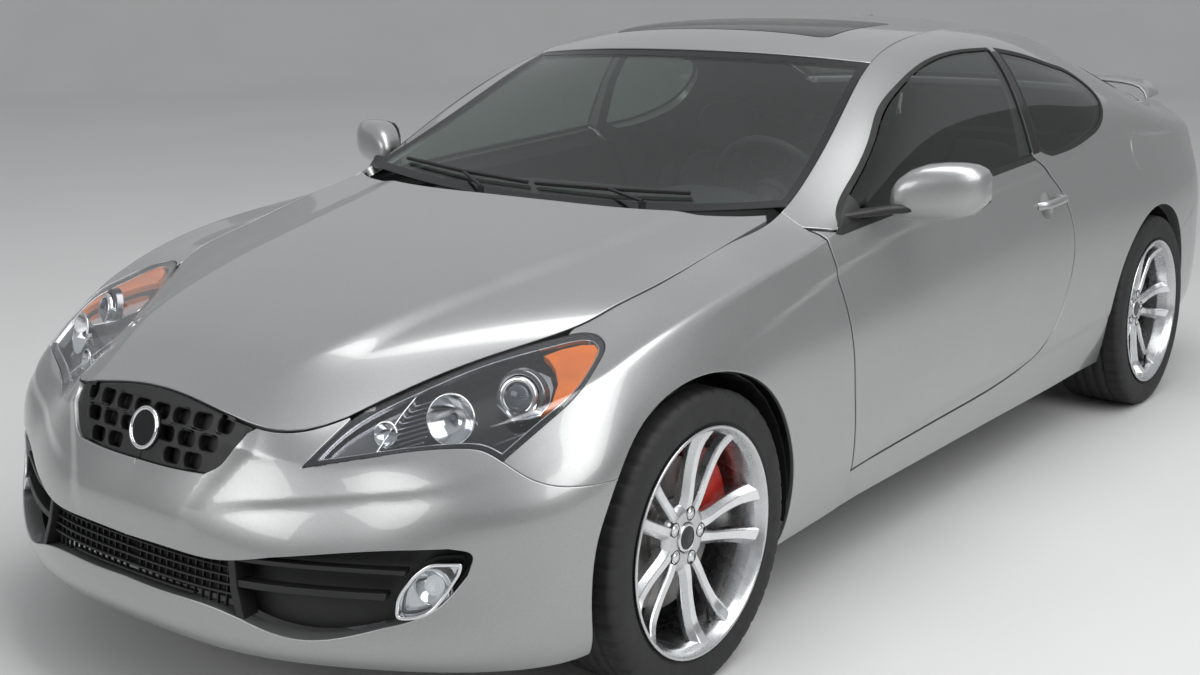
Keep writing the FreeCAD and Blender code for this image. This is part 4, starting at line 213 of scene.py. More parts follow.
# The top of the car: each row runs from ditch to ditch over a point in the middle.
# columns: distance round the car of the row's ends, y and z of its middle,
# and how much of the way in y and in z it has come at its crease, CREASE of the way out

CREASE = 0.7
HOOD_ROWS = (
    (600, -2196, 682, 0.92, -0.48),
    (880, -2010, 762, 0.72, 0.45),
    (1060, -1860, 803, 0.66, 0.60),
    (1270, -1690, 838, 0.62, 0.66),
    (1480, -1520, 868, 0.62, 0.68),
    (1850, -1220, 912, 0.66, 0.70),
    (2110, -1028, 940, 0.75, 0.70),
)
WINDSHIELD_ROWS = (
    (2150, -905, 915, 0.55, 0.55),
    (2260, -805, 975, 0.55, 0.55),
    (2470, -590, 1112, 0.55, 0.55),
    (2700, -355, 1252, 0.55, 0.55),
    (2790, -262, 1306, 0.55, 0.55),
)
ROOF_ROWS = (
    (2790, -262, 1306, 0.55, 0.55),
    (2900, -140, 1350, 0.55, 0.55),
    (3170, 190, 1381, 0.55, 0.55),
    (3570, 600, 1385, 0.55, 0.55),
    (3970, 1010, 1352, 0.55, 0.55),
    (4060, 1110, 1328, 0.55, 0.55),
)
REAR_WINDOW_ROWS = (
    (4060, 1110, 1328, 0.55, 0.55),
    (4300, 1380, 1232, 0.55, 0.55),
    (4600, 1670, 1114, 0.55, 0.55),
)
DECK_ROWS = (
    (4600, 1670, 1114, 0.55, 0.55),
    (4670, 1745, 1094, 0.60, 0.60),
    (5020, 2070, 1052, 0.70, 0.70),
    (5290, 2198, 1030, 0.80, 0.80),
)

# Lines that more than one panel is cut on

DOOR_OUTLINE = (
    (-886, 919), (-807, 305), (-223, 314), (193, 334), (382, 377), (480, 442), (543, 543),
    (578, 666), (555, 780), (503, 865), (440, 925), (354, 979), (0, 960), (-826, 911),
)
DOOR_WINDOW = (
    (-826, 911), (0, 960), (354, 979), (372, 1296), (104, 1296), (-83, 1271), (-249, 1225),
    (-389, 1168), (-506, 1100), (-653, 1014), (-777, 944),
)
QUARTER_WINDOW = (
    (412, 996), (491, 975), (656, 985), (841, 1017), (935, 1058), (975, 1114), (936, 1172),
    (781, 1226), (551, 1274), (418, 1292),
)
LAMP_OUTLINE = (
    (408, -2169, 577), (425, -2048, 651), (477, -1912, 701), (546, -1786, 743), (626, -1683, 772),
    (663, -1644, 784), (717, -1621, 788), (755, -1639, 776), (787, -1700, 753), (810, -1791, 716),
    (794, -1876, 667), (763, -1973, 608), (721, -1989, 627), (686, -2008, 629), (605, -2049, 619),
    (504, -2100, 597),
)
LAMP_AXIS = (0.55, -0.72, 0.42)
GRILLE_OUTLINE = (
    (0, 671), (90, 669), (172, 665), (250, 650), (289, 641), (281, 621), (245, 565), (209, 546),
    (100, 541), (0, 540),
)
FOG_LAMP_OUTLINE = (
    (630, -2144, 309), (629, -2137, 353), (656, -2116, 398), (683, -2099, 422), (738, -2063, 424),
    (735, -2066, 403), (710, -2086, 353), (690, -2103, 322), (659, -2127, 309),
)
POCKET_AXIS = (0.45, -0.89, 0.0)

TOP_COLUMNS = (-1, -CREASE, 0, CREASE, 1)
NOSE, TAIL = 0.0, 5950.0
DITCH = 1110.0


def mirrored_row(row, middle):
    """A row of the side table as it is on the far side of the nose or the tail."""
    return (2 * middle - row[0],) + tuple((-x, y, z) for x, y, z in row[1:])


side_rows = [mirrored_row(SIDE_ROWS[i], NOSE) for i in (2, 1)] + list(SIDE_ROWS)
side_rows += [mirrored_row(SIDE_ROWS[i], TAIL) for i in (-2, -3)]
SIDE = Skin([row[0] for row in side_rows], SIDE_LINES, [row[1:] for row in side_rows], (1, 0.2, 0))


def ditch(station):
    """Points of the ditch line at distances round the car."""
    station = np.atleast_1d(np.asarray(station, float))
    return SIDE.mix(np.stack([station, np.full(len(station), DITCH)], 1))


def top_skin(rows):
    """A skin of the car's top from its table."""
    grid = []
    for station, middle_y, middle_z, way_y, way_z in rows:
        x, y, z = ditch(station)[0]
        shoulder = (x * CREASE, y + (middle_y - y) * way_y, z + (middle_z - z) * way_z)
        grid.append([(-x, y, z), (-shoulder[0],) + shoulder[1:], (0, middle_y, middle_z), shoulder, (x, y, z)])
    return Skin([row[0] for row in rows], TOP_COLUMNS, grid, (0, 0, 1))


def hood_skin():
    """The skin of the hood; its front row runs along the ditch line round the nose."""
    coarse = top_skin(HOOD_ROWS)
    columns = np.round(np.linspace(-1, 1, 25), 4)
    grid = []
    line = ditch(np.linspace(NOSE, coarse.u[0], 121))
    for station in coarse.u:
        row = coarse.mix(np.stack([np.full(25, station), columns], 1))
        if station == coarse.u[0]:
            x = np.abs(columns) * line[-1, 0]
            row = np.stack([x * np.sign(columns)] + [np.interp(x, line[:, 0], line[:, i]) for i in (1, 2)], 1)
        grid.append(row)
    return Skin(coarse.u, columns, grid, (0, 0, 1))


HOOD, WINDSHIELD, ROOF = hood_skin(), top_skin(WINDSHIELD_ROWS), top_skin(ROOF_ROWS)
REAR_WINDOW, DECK = top_skin(REAR_WINDOW_ROWS), top_skin(DECK_ROWS)


# Soft creases pressed into the skins

def soft_step(t):
    """0 below -1, 1 above 1, smooth between."""
    share = np.clip((t + 1) / 2, 0, 1)
    return share * share * (3 - 2 * share)


nose_v = np.linspace(0, DITCH, 120)
nose_z = SIDE.mix(np.stack([np.zeros(120), nose_v], 1))[:, 2]


def side_relief(uv):
    """How far the side and the nose stand out of their skin, in millimetres."""
    u, v = np.abs(uv[:, 0]), uv[:, 1]
    z = np.interp(v, nose_v, nose_z)
    half_width = np.interp(z, (380, 480, 560, 640), (168, 196, 246, 290))
    nose = 7.0 * soft_step((half_width - u) / 30) * soft_step((z - 425) / 40)
    shelf_line = np.interp(u, (180, 330, 520, 760, 1000), (430, 492, 540, 600, 640))
    shelf = 4.5 * soft_step((u - 300) / 110) * soft_step((1080 - u) / 120)
    below = shelf_line - v
    nose -= shelf * soft_step(below / 38) * np.exp(-np.maximum(below, 0) / 130)
    crease = np.interp(u, (1500, 2159, 2700, 3423, 3700, 4200, 4700), (610, 655, 690, 690, 700, 742, 780))
    under = crease - v
    depth = 7.0 * soft_step((u - 1750) / 320) * soft_step((4720 - u) / 380)
    side = -depth * soft_step(under / 17) * np.exp(-np.maximum(under, 0) / 150)
    sill = np.interp(u, (2100, 2400, 3600, 4100), (128, 138, 152, 190))
    low = sill - v
    side -= 5.0 * soft_step((u - 2150) / 120) * soft_step((3950 - u) / 260) * soft_step(low / 18)
    return nose + side


def hood_relief(uv):
    """How far the raised middle of the hood stands out of its skin, in millimetres."""
    u = uv[:, 0]
    x = np.abs(uv[:, 1]) * ditch(u)[:, 0]
    half_width = np.interp(u, (600, 900, 1300, 1700, 2050), (262, 330, 408, 470, 520))
    return 9.0 * soft_step((half_width - x) / 42) * soft_step((u - 760) / 150)


SIDE.relief, HOOD.relief = side_relief, hood_relief


# Curves in a flat view or in (u, v)

def dense(points, step=12.0):
    """A polyline with points at most a step apart."""
    points = np.asarray(points, float)
    result = [points[:1]]
    for a, b in zip(points, points[1:]):
        count = max(1, int(np.ceil(np.linalg.norm(b - a) / step)))
        result.append(a + (b - a) * (np.arange(1, count + 1) / count)[:, None])
    return np.vstack(result)


def smooth(points, step=10.0):
    """The natural cubic through the points, as a polyline."""
    points = np.asarray(points, float)
    knots = np.r_[0, np.cumsum(np.linalg.norm(np.diff(points, axis=0), axis=1))]
    at = np.linspace(0, knots[-1], max(3, int(knots[-1] / step)))
    return weights(knots, bends(knots), at) @ points


def rounded(points, radius, closed=True, steps=6):
    """A polygon with its corners rounded."""
    points = np.asarray(points, float)
    count = len(points)
    result = []
    for i in range(count):
        here = points[i]
        if not closed and i in (0, count - 1):
            result.append(here[None])
            continue
        before, after = points[i - 1] - here, points[(i + 1) % count] - here
        room = min(radius, 0.45 * np.linalg.norm(before), 0.45 * np.linalg.norm(after))
        start, end = here + unit(before) * room, here + unit(after) * room
        t = np.linspace(0, 1, steps)[:, None]
        result.append((1 - t) ** 2 * start + 2 * t * (1 - t) * here + t * t * end)
    if closed:
        result.append(result[0][:1])
    return np.vstack(result)


def chain(*parts):
    """Polylines end to end, without the doubled points."""
    points = np.vstack(parts)
    keep = np.r_[True, np.linalg.norm(np.diff(points, axis=0), axis=1) > SAME_PLACE]
    return points[keep]


def signed_area(points):
    """Twice the area inside a flat outline, below 0 where it runs clockwise."""
    return (points[:, 0] * np.roll(points[:, 1], -1) - np.roll(points[:, 0], -1) * points[:, 1]).sum()


def opened(points):
    """A loop without its last point where that is the first again."""
    points = chain(points)
    return points[:-1] if np.linalg.norm(points[0] - points[-1]) < SAME_PLACE else points


def looped(points):
    """Points with the first one again at their end."""
    return np.vstack([points, points[:1]])


def moved_out(points, distance):
    """A closed polyline moved outwards in its plane."""
    points = opened(points)
    after = np.roll(points, -1, 0) - points
    normal = unit(np.stack([after[:, 1], -after[:, 0]], 1)) * np.sign(signed_area(points))
    before = np.roll(normal, 1, 0)
    reach = distance / np.maximum(0.4, 1 + (normal * before).sum(1))
    return looped(points + (normal + before) * reach[:, None])


def between(points, first, last):
    """The part of a closed polyline from the point nearest one place to the point nearest another, the way it runs."""
    points = points[:-1]
    a = int(np.argmin(((points - first) ** 2).sum(1)))
    b = int(np.argmin(((points - last) ** 2).sum(1)))
    return points[np.arange(a, b + 1 if b >= a else b + 1 + len(points)) % len(points)]


def arc(middle, radius, start, end, steps=48):
    """Points on a circle, between two angles in degrees."""
    turns = np.radians(np.linspace(start, end, steps + 1))
    return np.stack([middle[0] + radius * np.cos(turns), middle[1] + radius * np.sin(turns)], 1)


def level(start, end, v):
    """A line of constant v between two stations."""
    stations = np.linspace(start, end, max(2, int(abs(end - start) / 20) + 1))
    return np.stack([stations, np.full(len(stations), float(v))], 1)


def upright(station, start, end, count):
    """A line of one station between two values of v."""
    return np.stack([np.full(count, float(station)), np.linspace(start, end, count)], 1)


def station_at(v, y, u_range):
    """The station at which the side's line of constant v has that y."""
    stations = np.linspace(*u_range, 400)
    line = SIDE.mix(np.stack([stations, np.full(400, float(v))], 1))[:, 1]
    order = np.argsort(line)
    return float(np.interp(y, line[order], stations[order]))


def height_line(stations, z):
    """The side's line of constant height over the stations."""
    result = []
    for station in stations:
        line = upright(station, 0, DITCH, 200)
        result.append((station, np.interp(z, SIDE.mix(line)[:, 2], line[:, 1])))
    return np.array(result)


def v_at(station, z):
    """The side's v at a station and height."""
    return height_line((station,), z)[0, 1]


# Forms: vertices, faces, materials and normals, before they become an object

class Form:
    """A mesh being made, in metres."""

    def __init__(self):
        self.points, self.normals, self.faces, self.slots, self.count = [], [], [], [], 0

    def add(self, points, normals, faces, slot=0):
        """Adds points, with their normals, and faces on them."""
        base = self.count
        self.points.append(np.asarray(points, float))
        self.normals.append(np.asarray(normals, float))
        self.faces += [[base + int(i) for i in face] for face in faces]
        self.slots += [slot] * len(faces)
        self.count += len(points)
        return base

    def mirrored(self):
        """The form on the other side of the car."""
        other = Form()
        other.points = [block * (-1, 1, 1) for block in self.points]
        other.normals = [block * (-1, 1, 1) for block in self.normals]
        other.faces = [face[::-1] for face in self.faces]
        other.slots, other.count = list(self.slots), self.count
        return other

    def joined(self, *others):
        """This form and others in one."""
        result = Form()
        for part in (self, *others):
            result.faces += [[i + result.count for i in face] for face in part.faces]
            result.points, result.normals = result.points + part.points, result.normals + part.normals
            result.slots, result.count = result.slots + part.slots, result.count + part.count
        return result


def both_sides(form):
    """A form and its mirror image."""
    return form.joined(form.mirrored())


def sided(form, side, centre=(0, 0, 0)):
    """A form drawn for the left side, moved to a place there, or the mirror image of that on the right."""
    moved = form.joined()
    moved.points = [block + np.asarray(centre) * MM for block in moved.points]
    return moved if side == "left" else moved.mirrored()


def inside(points, loops):
    """Which points are inside an odd number of the loops."""
    result = np.zeros(len(points), bool)
    for loop in loops:
        for (ax, ay), (bx, by) in zip(loop, np.roll(loop, -1, 0)):
            if ay != by:
                crosses = (ay > points[:, 1]) != (by > points[:, 1])
                result ^= crosses & (points[:, 0] < (bx - ax) * (points[:, 1] - ay) / (by - ay) + ax)
    return result


def distance_to(points, loops):
    """How far each point is from the loops."""
    best = np.full(len(points), 1e9)
    for loop in loops:
        for a, b in zip(loop, np.roll(loop, -1, 0)):
            way = b - a
            share = np.clip(((points - a) @ way) / max(way @ way, 1e-9), 0, 1)
            best = np.minimum(best, ((points - a - share[:, None] * way) ** 2).sum(1))
    return np.sqrt(best)


BEVEL_STEPS = 3
ON_MIDDLE = 0.05  # how near the plane of symmetry a point counts as on it, in millimetres


def filled(flat, step):
    """Triangles inside flat loops: their points, their faces, and each point's number in the loops, if it has one."""
    low, high = flat[0].min(0), flat[0].max(0)
    axes = [np.arange(low[i] + step / 2, high[i], step) for i in (0, 1)]
    grid = np.stack(np.meshgrid(*axes, indexing="ij"), -1).reshape(-1, 2)
    grid = grid[inside(grid, flat)]
    grid = grid[distance_to(grid, flat) > 0.5 * step]
    links, start = [], 0
    for loop in flat:
        links += [(start + i, start + (i + 1) % len(loop)) for i in range(len(loop))]
        start += len(loop)
    corners = [Vector(p) for p in np.vstack(flat + [grid])]
    verts, _, faces, origin, _, _ = delaunay_2d_cdt(corners, links, [], 0, 1e-4)
    verts = np.array([tuple(p) for p in verts])
    faces = np.array([tuple(face) for face in faces])
    return verts, faces[inside(verts[faces].mean(1), flat)], np.array([o[0] if o else -1 for o in origin])


def edge_ways(spots, normals, halved):
    """The way outwards at each point of a panel's edge, and which of its stretches lie in the plane of symmetry."""
    on_middle = (np.abs(spots[:, 0]) < ON_MIDDLE) if halved else np.zeros(len(spots), bool)
    is_open = on_middle & np.roll(on_middle, -1)
    side = np.cross(unit(np.roll(spots, -1, 0) - spots), normals)
    side[is_open] = 0
    before = np.roll(side, 1, 0)
    lone = (np.linalg.norm(side, axis=1) < 0.5) | (np.linalg.norm(before, axis=1) < 0.5)
    ways = (side + before) / np.maximum(0.5, np.where(lone, 1.0, 1 + (side * before).sum(1)))[:, None]
    ways[on_middle, 0] = 0
    return ways, is_open


def shell(skin, loops, thick, radius=2.5, step=24.0, sink=0.0, halved=False, back=1, form=None, slot=0):
    """A panel of a skin inside its first loop and outside the others, with rounded edges and a back.

    thick is one value or a function of v, back is the slot of its back,
    and a halved panel stays open in the plane of symmetry."""
    form = form or Form()
    scale = np.array([1.0, skin.v_scale()])
    flat = []
    for index, loop in enumerate(loops):
        loop = opened(loop) * scale
        flat.append(loop if (signed_area(loop) > 0) == (index == 0) else loop[::-1])
    verts, faces, source = filled(flat, step)
    edge = np.vstack(flat)
    points, normals, hand = skin.place(verts / scale)
    edge_points, edge_normals, _ = skin.place(edge / scale)
    depth, edge_depth = [thick(at[:, 1] / scale[1]) if callable(thick) else np.full(len(at), float(thick))
                         for at in (verts, edge)]
    if hand < 0:
        faces = faces[:, ::-1]
    out = np.zeros_like(edge_points)
    shut, start = [], 0
    for loop in flat:
        size = len(loop)
        ring = slice(start, start + size)
        out[ring], is_open = edge_ways(edge_points[ring], edge_normals[ring] * hand, halved)
        shut += [(start + i, start + (i + 1) % size) for i in range(size) if not is_open[i]]
        start += size
    sideways = unit(out)
    top = points - normals * sink
    is_edge = (source >= 0) & (source < len(edge))
    top[is_edge] -= out[source[is_edge]] * radius
    form.add(top * MM, normals, faces, slot)
    rings = []
    for turn in np.linspace(0, np.pi / 2, BEVEL_STEPS + 1):
        spots = edge_points - edge_normals * sink + out * radius * (math.sin(turn) - 1)
        spots = spots - edge_normals * radius * (1 - math.cos(turn))
        rings.append(form.add(spots * MM, unit(edge_normals * math.cos(turn) + sideways * math.sin(turn)), []))
    bottom = edge_points - edge_normals * (sink + np.maximum(edge_depth, radius))[:, None]
    rings.append(form.add(bottom * MM, sideways, []))
    for upper, lower in zip(rings, rings[1:]):
        quads = [[upper + a, lower + a, lower + b, upper + b] for a, b in shut]
        form.faces += quads if hand > 0 else [quad[::-1] for quad in quads]
        form.slots += [slot] * len(quads)
    form.add((points - normals * (sink + depth)[:, None]) * MM, -normals, faces[:, ::-1], back)
    return form


def make(name, form, materials):
    """The object of a form, with the materials of its slots."""
    mesh = bpy.data.meshes.new(name)
    points = np.vstack(form.points)
    mesh.from_pydata([tuple(p) for p in points], [], form.faces)
    for material in materials:
        mesh.materials.append(material)
    mesh.polygons.foreach_set("material_index", form.slots)
    mesh.polygons.foreach_set("use_smooth", [True] * len(form.faces))
    mesh.normals_split_custom_set_from_vertices([tuple(n) for n in unit(np.vstack(form.normals))])
    mesh.update()
    thing = bpy.data.objects.new(name, mesh)
    bpy.context.scene.collection.objects.link(thing)
    return thing


def piece(name, form, materials, body, slot, *replaced):
    """Makes a piece and says what it rides on and the nodes that it stands for; its slot is not used."""
    thing = make(name, form, materials)
    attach(thing, body)
    if replaced:
        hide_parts(*replaced)
    return thing


# Materials

def material(name, colour, roughness=0.5, metallic=0.0, **sockets):
    """A material with a principled shader; the values are its sockets'."""
    made = bpy.data.materials.new(name)
    made.use_nodes = True
    shader = made.node_tree.nodes["Principled BSDF"]
    shader.inputs["Base Color"].default_value = (*colour, 1)
    shader.inputs["Roughness"].default_value = roughness
    shader.inputs["Metallic"].default_value = metallic
    for socket, value in sockets.items():
        shader.inputs[socket.replace("_", " ")].default_value = value
    return made


def add_node(made, kind, inputs=(), **settings):
    """A node in a material; inputs are pairs of socket and value or other socket."""
    node = made.node_tree.nodes.new(kind)
    for key, value in settings.items():
        setattr(node, key, value)
    for key, value in inputs:
        if isinstance(value, bpy.types.NodeSocket):
            made.node_tree.links.new(value, node.inputs[key])
        else:
            node.inputs[key].default_value = value
    return node


def place_of(made):
    """The place on the object, in metres."""
    return add_node(made, "ShaderNodeTexCoord").outputs["Object"]


def noise(made, scale, detail=3.0, vector=None, stretch=None):
    """A noise value at a scale in waves per metre."""
    vector = vector or place_of(made)
    if stretch:
        vector = add_node(made, "ShaderNodeMapping", (("Vector", vector), ("Scale", stretch))).outputs["Vector"]
    node = add_node(made, "ShaderNodeTexNoise", (("Vector", vector), ("Scale", scale), ("Detail", detail)))
    return node.outputs["Fac"]


def ramp(made, value, stops):
    """A colour ramp; stops are pairs of place and colour."""
    node = add_node(made, "ShaderNodeValToRGB", (("Fac", value),))
    elements = node.color_ramp.elements
    while len(elements) < len(stops):
        elements.new(0.5)
    for element, (place, colour) in zip(elements, stops):
        element.position = place
        element.color = (*colour, 1) if len(colour) == 3 else colour
    return node.outputs["Color"]


def spread(made, value, low, high):
    """A noise value carried to a range."""
    node = add_node(made, "ShaderNodeMapRange", (("Value", value), ("From Min", 0.3), ("From Max", 0.7),
                                                 ("To Min", low), ("To Max", high)))
    return node.outputs["Result"]


def to_shader(made, socket, value):
    """Links a value to a socket of the material's shader."""
    made.node_tree.links.new(value, made.node_tree.nodes["Principled BSDF"].inputs[socket])


def bump(made, height, strength, distance=0.001):
    """Bump on the material's shader."""
    node = add_node(made, "ShaderNodeBump", (("Height", height), ("Strength", strength), ("Distance", distance)))
    to_shader(made, "Normal", node.outputs["Normal"])


def shades(made, scale, dark, light, detail=3.0, stretch=None):
    """Base colour between two shades, by noise."""
    value = noise(made, scale, detail, stretch=stretch)
    to_shader(made, "Base Color", ramp(made, value, ((0.35, dark), (0.65, light))))


def paint_material():
    """Silver metallic paint: flakes in a base coat under a clear coat."""
    made = material("paint_silver", (0.36, 0.365, 0.365), 0.30, 0.78,
                    Coat_Weight=1.0, Coat_Roughness=0.03, Coat_IOR=1.5)
    cells = add_node(made, "ShaderNodeTexVoronoi", (("Vector", place_of(made)), ("Scale", 1400.0)))
    flakes = ramp(made, cells.outputs["Color"], ((0.0, (0.31, 0.315, 0.315)), (1.0, (0.42, 0.425, 0.425))))
    to_shader(made, "Base Color", flakes)
    to_shader(made, "Roughness", spread(made, noise(made, 6.0), 0.32, 0.37))
    return made


def plastic(name, colour, roughness, grain=900.0, strength=0.25):
    """Moulded plastic with a fine grain."""
    made = material(name, colour, roughness)
    darker = tuple(c * 0.8 for c in colour)
    shades(made, 14.0, darker, colour)
    to_shader(made, "Roughness", spread(made, noise(made, 30.0), roughness - 0.05, roughness + 0.05))
    bump(made, noise(made, grain, 2.0), strength, 0.0004)
    return made


def metal(name, colour, roughness, scale=60.0, stretch=None):
    """Metal with faint streaks."""
    made = material(name, colour, roughness, 1.0)
    darker = tuple(c * 0.93 for c in colour)
    shades(made, scale, darker, colour, stretch=stretch)
    to_shader(made, "Roughness", spread(made, noise(made, scale), roughness - 0.03, roughness + 0.03))
    return made


def glass_material(name, tint, ior=1.5):
    """A pane that lets tinted light through and mirrors by angle."""
    made = bpy.data.materials.new(name)
    made.use_nodes = True
    tree = made.node_tree
    tree.nodes.remove(tree.nodes["Principled BSDF"])
    through = add_node(made, "ShaderNodeBsdfTransparent", (("Color", (*tint, 1)),))
    streaks = spread(made, noise(made, 4.0), 0.004, 0.012)
    gloss = add_node(made, "ShaderNodeBsdfGlossy", (("Color", (1, 1, 1, 1)), ("Roughness", streaks)))
    side = add_node(made, "ShaderNodeNewGeometry").outputs["Backfacing"]
    index = add_node(made, "ShaderNodeMath", ((0, side), (1, 1 / ior - ior), (2, ior)), operation="MULTIPLY_ADD")
    facing = add_node(made, "ShaderNodeFresnel", (("IOR", index.outputs[0]),))
    mix = add_node(made, "ShaderNodeMixShader",
                   (("Fac", facing.outputs["Fac"]), (1, through.outputs[0]), (2, gloss.outputs[0])))
    tree.links.new(mix.outputs[0], tree.nodes["Material Output"].inputs["Surface"])
    return made


PAINT = paint_material()
BLACK = plastic("trim_black", (0.012, 0.012, 0.013), 0.5)
GLOSS_BLACK = plastic("gloss_black", (0.008, 0.008, 0.009), 0.12, 400.0, 0.02)
RUBBER = plastic("rubber_seal", (0.014, 0.014, 0.014), 0.75, 500.0, 0.2)
INNER = plastic("inner_panel", (0.05, 0.05, 0.052), 0.7, 300.0, 0.3)
PANE = glass_material("pane", (0.74, 0.78, 0.76))
SIDE_PANE = glass_material("pane_tinted", (0.52, 0.56, 0.54))
CLEAR = glass_material("lens_clear", (0.93, 0.94, 0.95))
CHROME = metal("chrome", (0.82, 0.83, 0.84), 0.1, 20.0)
ALLOY = metal("alloy", (0.66, 0.67, 0.68), 0.27, 40.0)
MACHINED = metal("alloy_machined", (0.86, 0.87, 0.88), 0.18, 60.0)
DARK_CHROME = metal("chrome_smoked", (0.22, 0.22, 0.23), 0.2, 30.0)
BULB = plastic("lens_dark", (0.10, 0.11, 0.13), 0.05, 100.0, 0.02)
STEEL = metal("steel_dark", (0.16, 0.16, 0.17), 0.5)
CAST = metal("cast_iron", (0.30, 0.29, 0.28), 0.45, 80.0)
LEATHER = plastic("leather_black", (0.025, 0.024, 0.024), 0.55, 700.0, 0.4)
DASH = plastic("dash_plastic", (0.02, 0.02, 0.021), 0.62, 800.0, 0.4)
TYRE = plastic("tyre_rubber", (0.018, 0.018, 0.019), 0.72, 350.0, 0.35)
RED = plastic("caliper_red", (0.42, 0.02, 0.012), 0.3, 200.0, 0.1)
RED_LENS = plastic("tail_lens", (0.35, 0.008, 0.01), 0.08, 200.0, 0.02)
AMBER = plastic("amber_lens", (0.90, 0.20, 0.012), 0.12, 150.0, 0.05)


# Body panels of the left side and their mirror images

GAP = 6.0
SIDE_WALL, PILLAR_WALL = 60.0, 26.0
BELT_LOW, BELT_HIGH = 630.0, 860.0


def wall_depth(v):
    """The thickness of the body side at a level: full up to the belt, then down to that of the pillars."""
    return np.interp(v, (BELT_LOW, BELT_HIGH), (SIDE_WALL, PILLAR_WALL))


front_axle, rear_axle = (-1490.0, 331.0), (1330.0, 339.0)
FRONT_ARCH, REAR_ARCH = 370.0, 382.0

belt_line = smooth(((354, 979), (0, 960), (-400, 938), (-826, 911)))
door_curve = chain(dense(DOOR_OUTLINE[:2]), smooth(DOOR_OUTLINE[1:12]), belt_line,
                   dense(((-826, 911), DOOR_OUTLINE[0])))
door_opening = moved_out(door_curve, GAP / 2)
door_panel = moved_out(door_curve, -GAP / 2)
window_top = smooth(((-826, 911),) + DOOR_WINDOW[:3:-1] + ((365, 1298),))
window_rear = dense(((372, 1292), (354, 979)))
quarter_curve = chain(rounded(((412, 996), (452, 983), (491, 975)), 30, closed=False),
                      smooth(QUARTER_WINDOW[1:4]), smooth(QUARTER_WINDOW[3:8]),
                      smooth(QUARTER_WINDOW[7:]), dense(((418, 1292), (412, 996))))

belt_front, belt_rear = np.array([-826.0, 911.0]), np.array([354.0, 979.0])
corner_low, corner_top = np.array([-807.0, 305.0]), np.array([-886.0, 919.0])

half_gap = GAP / 2
opening_low = between(door_opening, corner_low - half_gap, belt_rear + half_gap)
opening_front = between(door_opening, corner_top + (-half_gap, half_gap), corner_low - half_gap)
opening_top = between(door_opening, belt_front + (0, half_gap), corner_top + (-half_gap, half_gap))

# stations between which a line is looked for on the side's skin
SIDE_RANGE = (1900.0, 5600.0)
PILLAR_RANGE = (1900, 2400)
REAR_RANGE = (4300, 5300)
NOSE_RANGE = (0, 1500)
LAMP_RANGE = (250, 1500)
MOUTH_RANGE = (0, 950)
GRILLE_RANGE = (0, 600)
FOG_RANGE = (500, 1000)
SEAM_RANGE = (880, 1400)


def on_side(points, u_range=SIDE_RANGE):
    """A flat polyline of the side view carried to the side's skin."""
    return SIDE.find(dense(points), SIDE_VIEW, u_range)


def side_level(v, y_from, y_to, u_range):
    """A line of constant v between two places along the car."""
    return level(station_at(v, y_from, u_range), station_at(v, y_to, u_range), v)


TAIL_NOTCH = 5440.0  # the station where the body side ends at the tail, beside the trunk lid
lamp_low = smooth(((2168, 800), (2060, 798), (1960, 806)))
lamp_front = rounded(((1960, 806), (1912, 862), (1985, 918)), 40, closed=False)
lamp_high = smooth(((1985, 918), (2080, 927), (2168, 925)))
tail_notch = chain(lamp_low, lamp_front, lamp_high)
bumper_rear_line = smooth(((1615, 589), (1700, 614), (1880, 662), (2060, 704)))


def body_side_loops():
    """The outline of the body side and that of its quarter window."""
    sill = side_level(0, -804, 968.4, (2000, 4100))
    arch = on_side(arc(rear_axle, REAR_ARCH, 199, 41), (3700, 4900))
    bumper = on_side(bumper_rear_line, REAR_RANGE)
    last = height_line(np.linspace(5200, TAIL_NOTCH, 12), 716)
    under_lamp = upright(TAIL_NOTCH, v_at(TAIL_NOTCH, 716), v_at(TAIL_NOTCH, 800), 8)
    notch = on_side(tail_notch, (4700, TAIL_NOTCH))
    over_lamp = upright(TAIL_NOTCH, v_at(TAIL_NOTCH, 926), DITCH, 8)
    roof = level(TAIL_NOTCH, station_at(DITCH, -892, PILLAR_RANGE), DITCH)
    down = on_side(((-892, 951), (-892, 926)), PILLAR_RANGE)
    windows = on_side(chain(opening_top[::-1], window_top, window_rear))
    door = on_side(opening_low[::-1])
    outer = chain(sill, arch, bumper, last, under_lamp, notch, over_lamp, roof, down, windows, door)
    return [outer, on_side(quarter_curve)]


lamp_view = view_along(LAMP_AXIS)
lamp_spots = np.array(LAMP_OUTLINE, float) @ lamp_view.T
lamp_top = smooth(lamp_spots[:6])
lamp_side = smooth(lamp_spots[5:12])
lamp_under = smooth(np.vstack([lamp_spots[11:], lamp_spots[:1]]))


def on_nose(points, view, u_range):
    """A flat polyline carried to the skin of the nose."""
    return SIDE.find(dense(points, 10), view, u_range)


bumper_seam = smooth(((-1973, 608), (-1950, 578), (-1880, 556), (-1787.5, 551)))


def fender_loop():
    """The outline of the fender."""
    sill = side_level(0, -1142, -805, (1700, 2400))
    rear = on_side(chain(((-805, 205), (-806.5, 296)), opening_front[::-1]), PILLAR_RANGE)
    up = on_side(((-892, 926), (-892, 951)), PILLAR_RANGE)
    top = level(station_at(DITCH, -892, PILLAR_RANGE), 1085, DITCH)
    lamp = on_nose(lamp_side, lamp_view, (700, 1500))
    seam = SIDE.find(bumper_seam, SIDE_VIEW, SEAM_RANGE)
    arch = on_side(arc(front_axle, FRONT_ARCH, 143.5, -20), (1100, 2100))
    return chain(sill, rear, up, top, lamp, seam, arch)


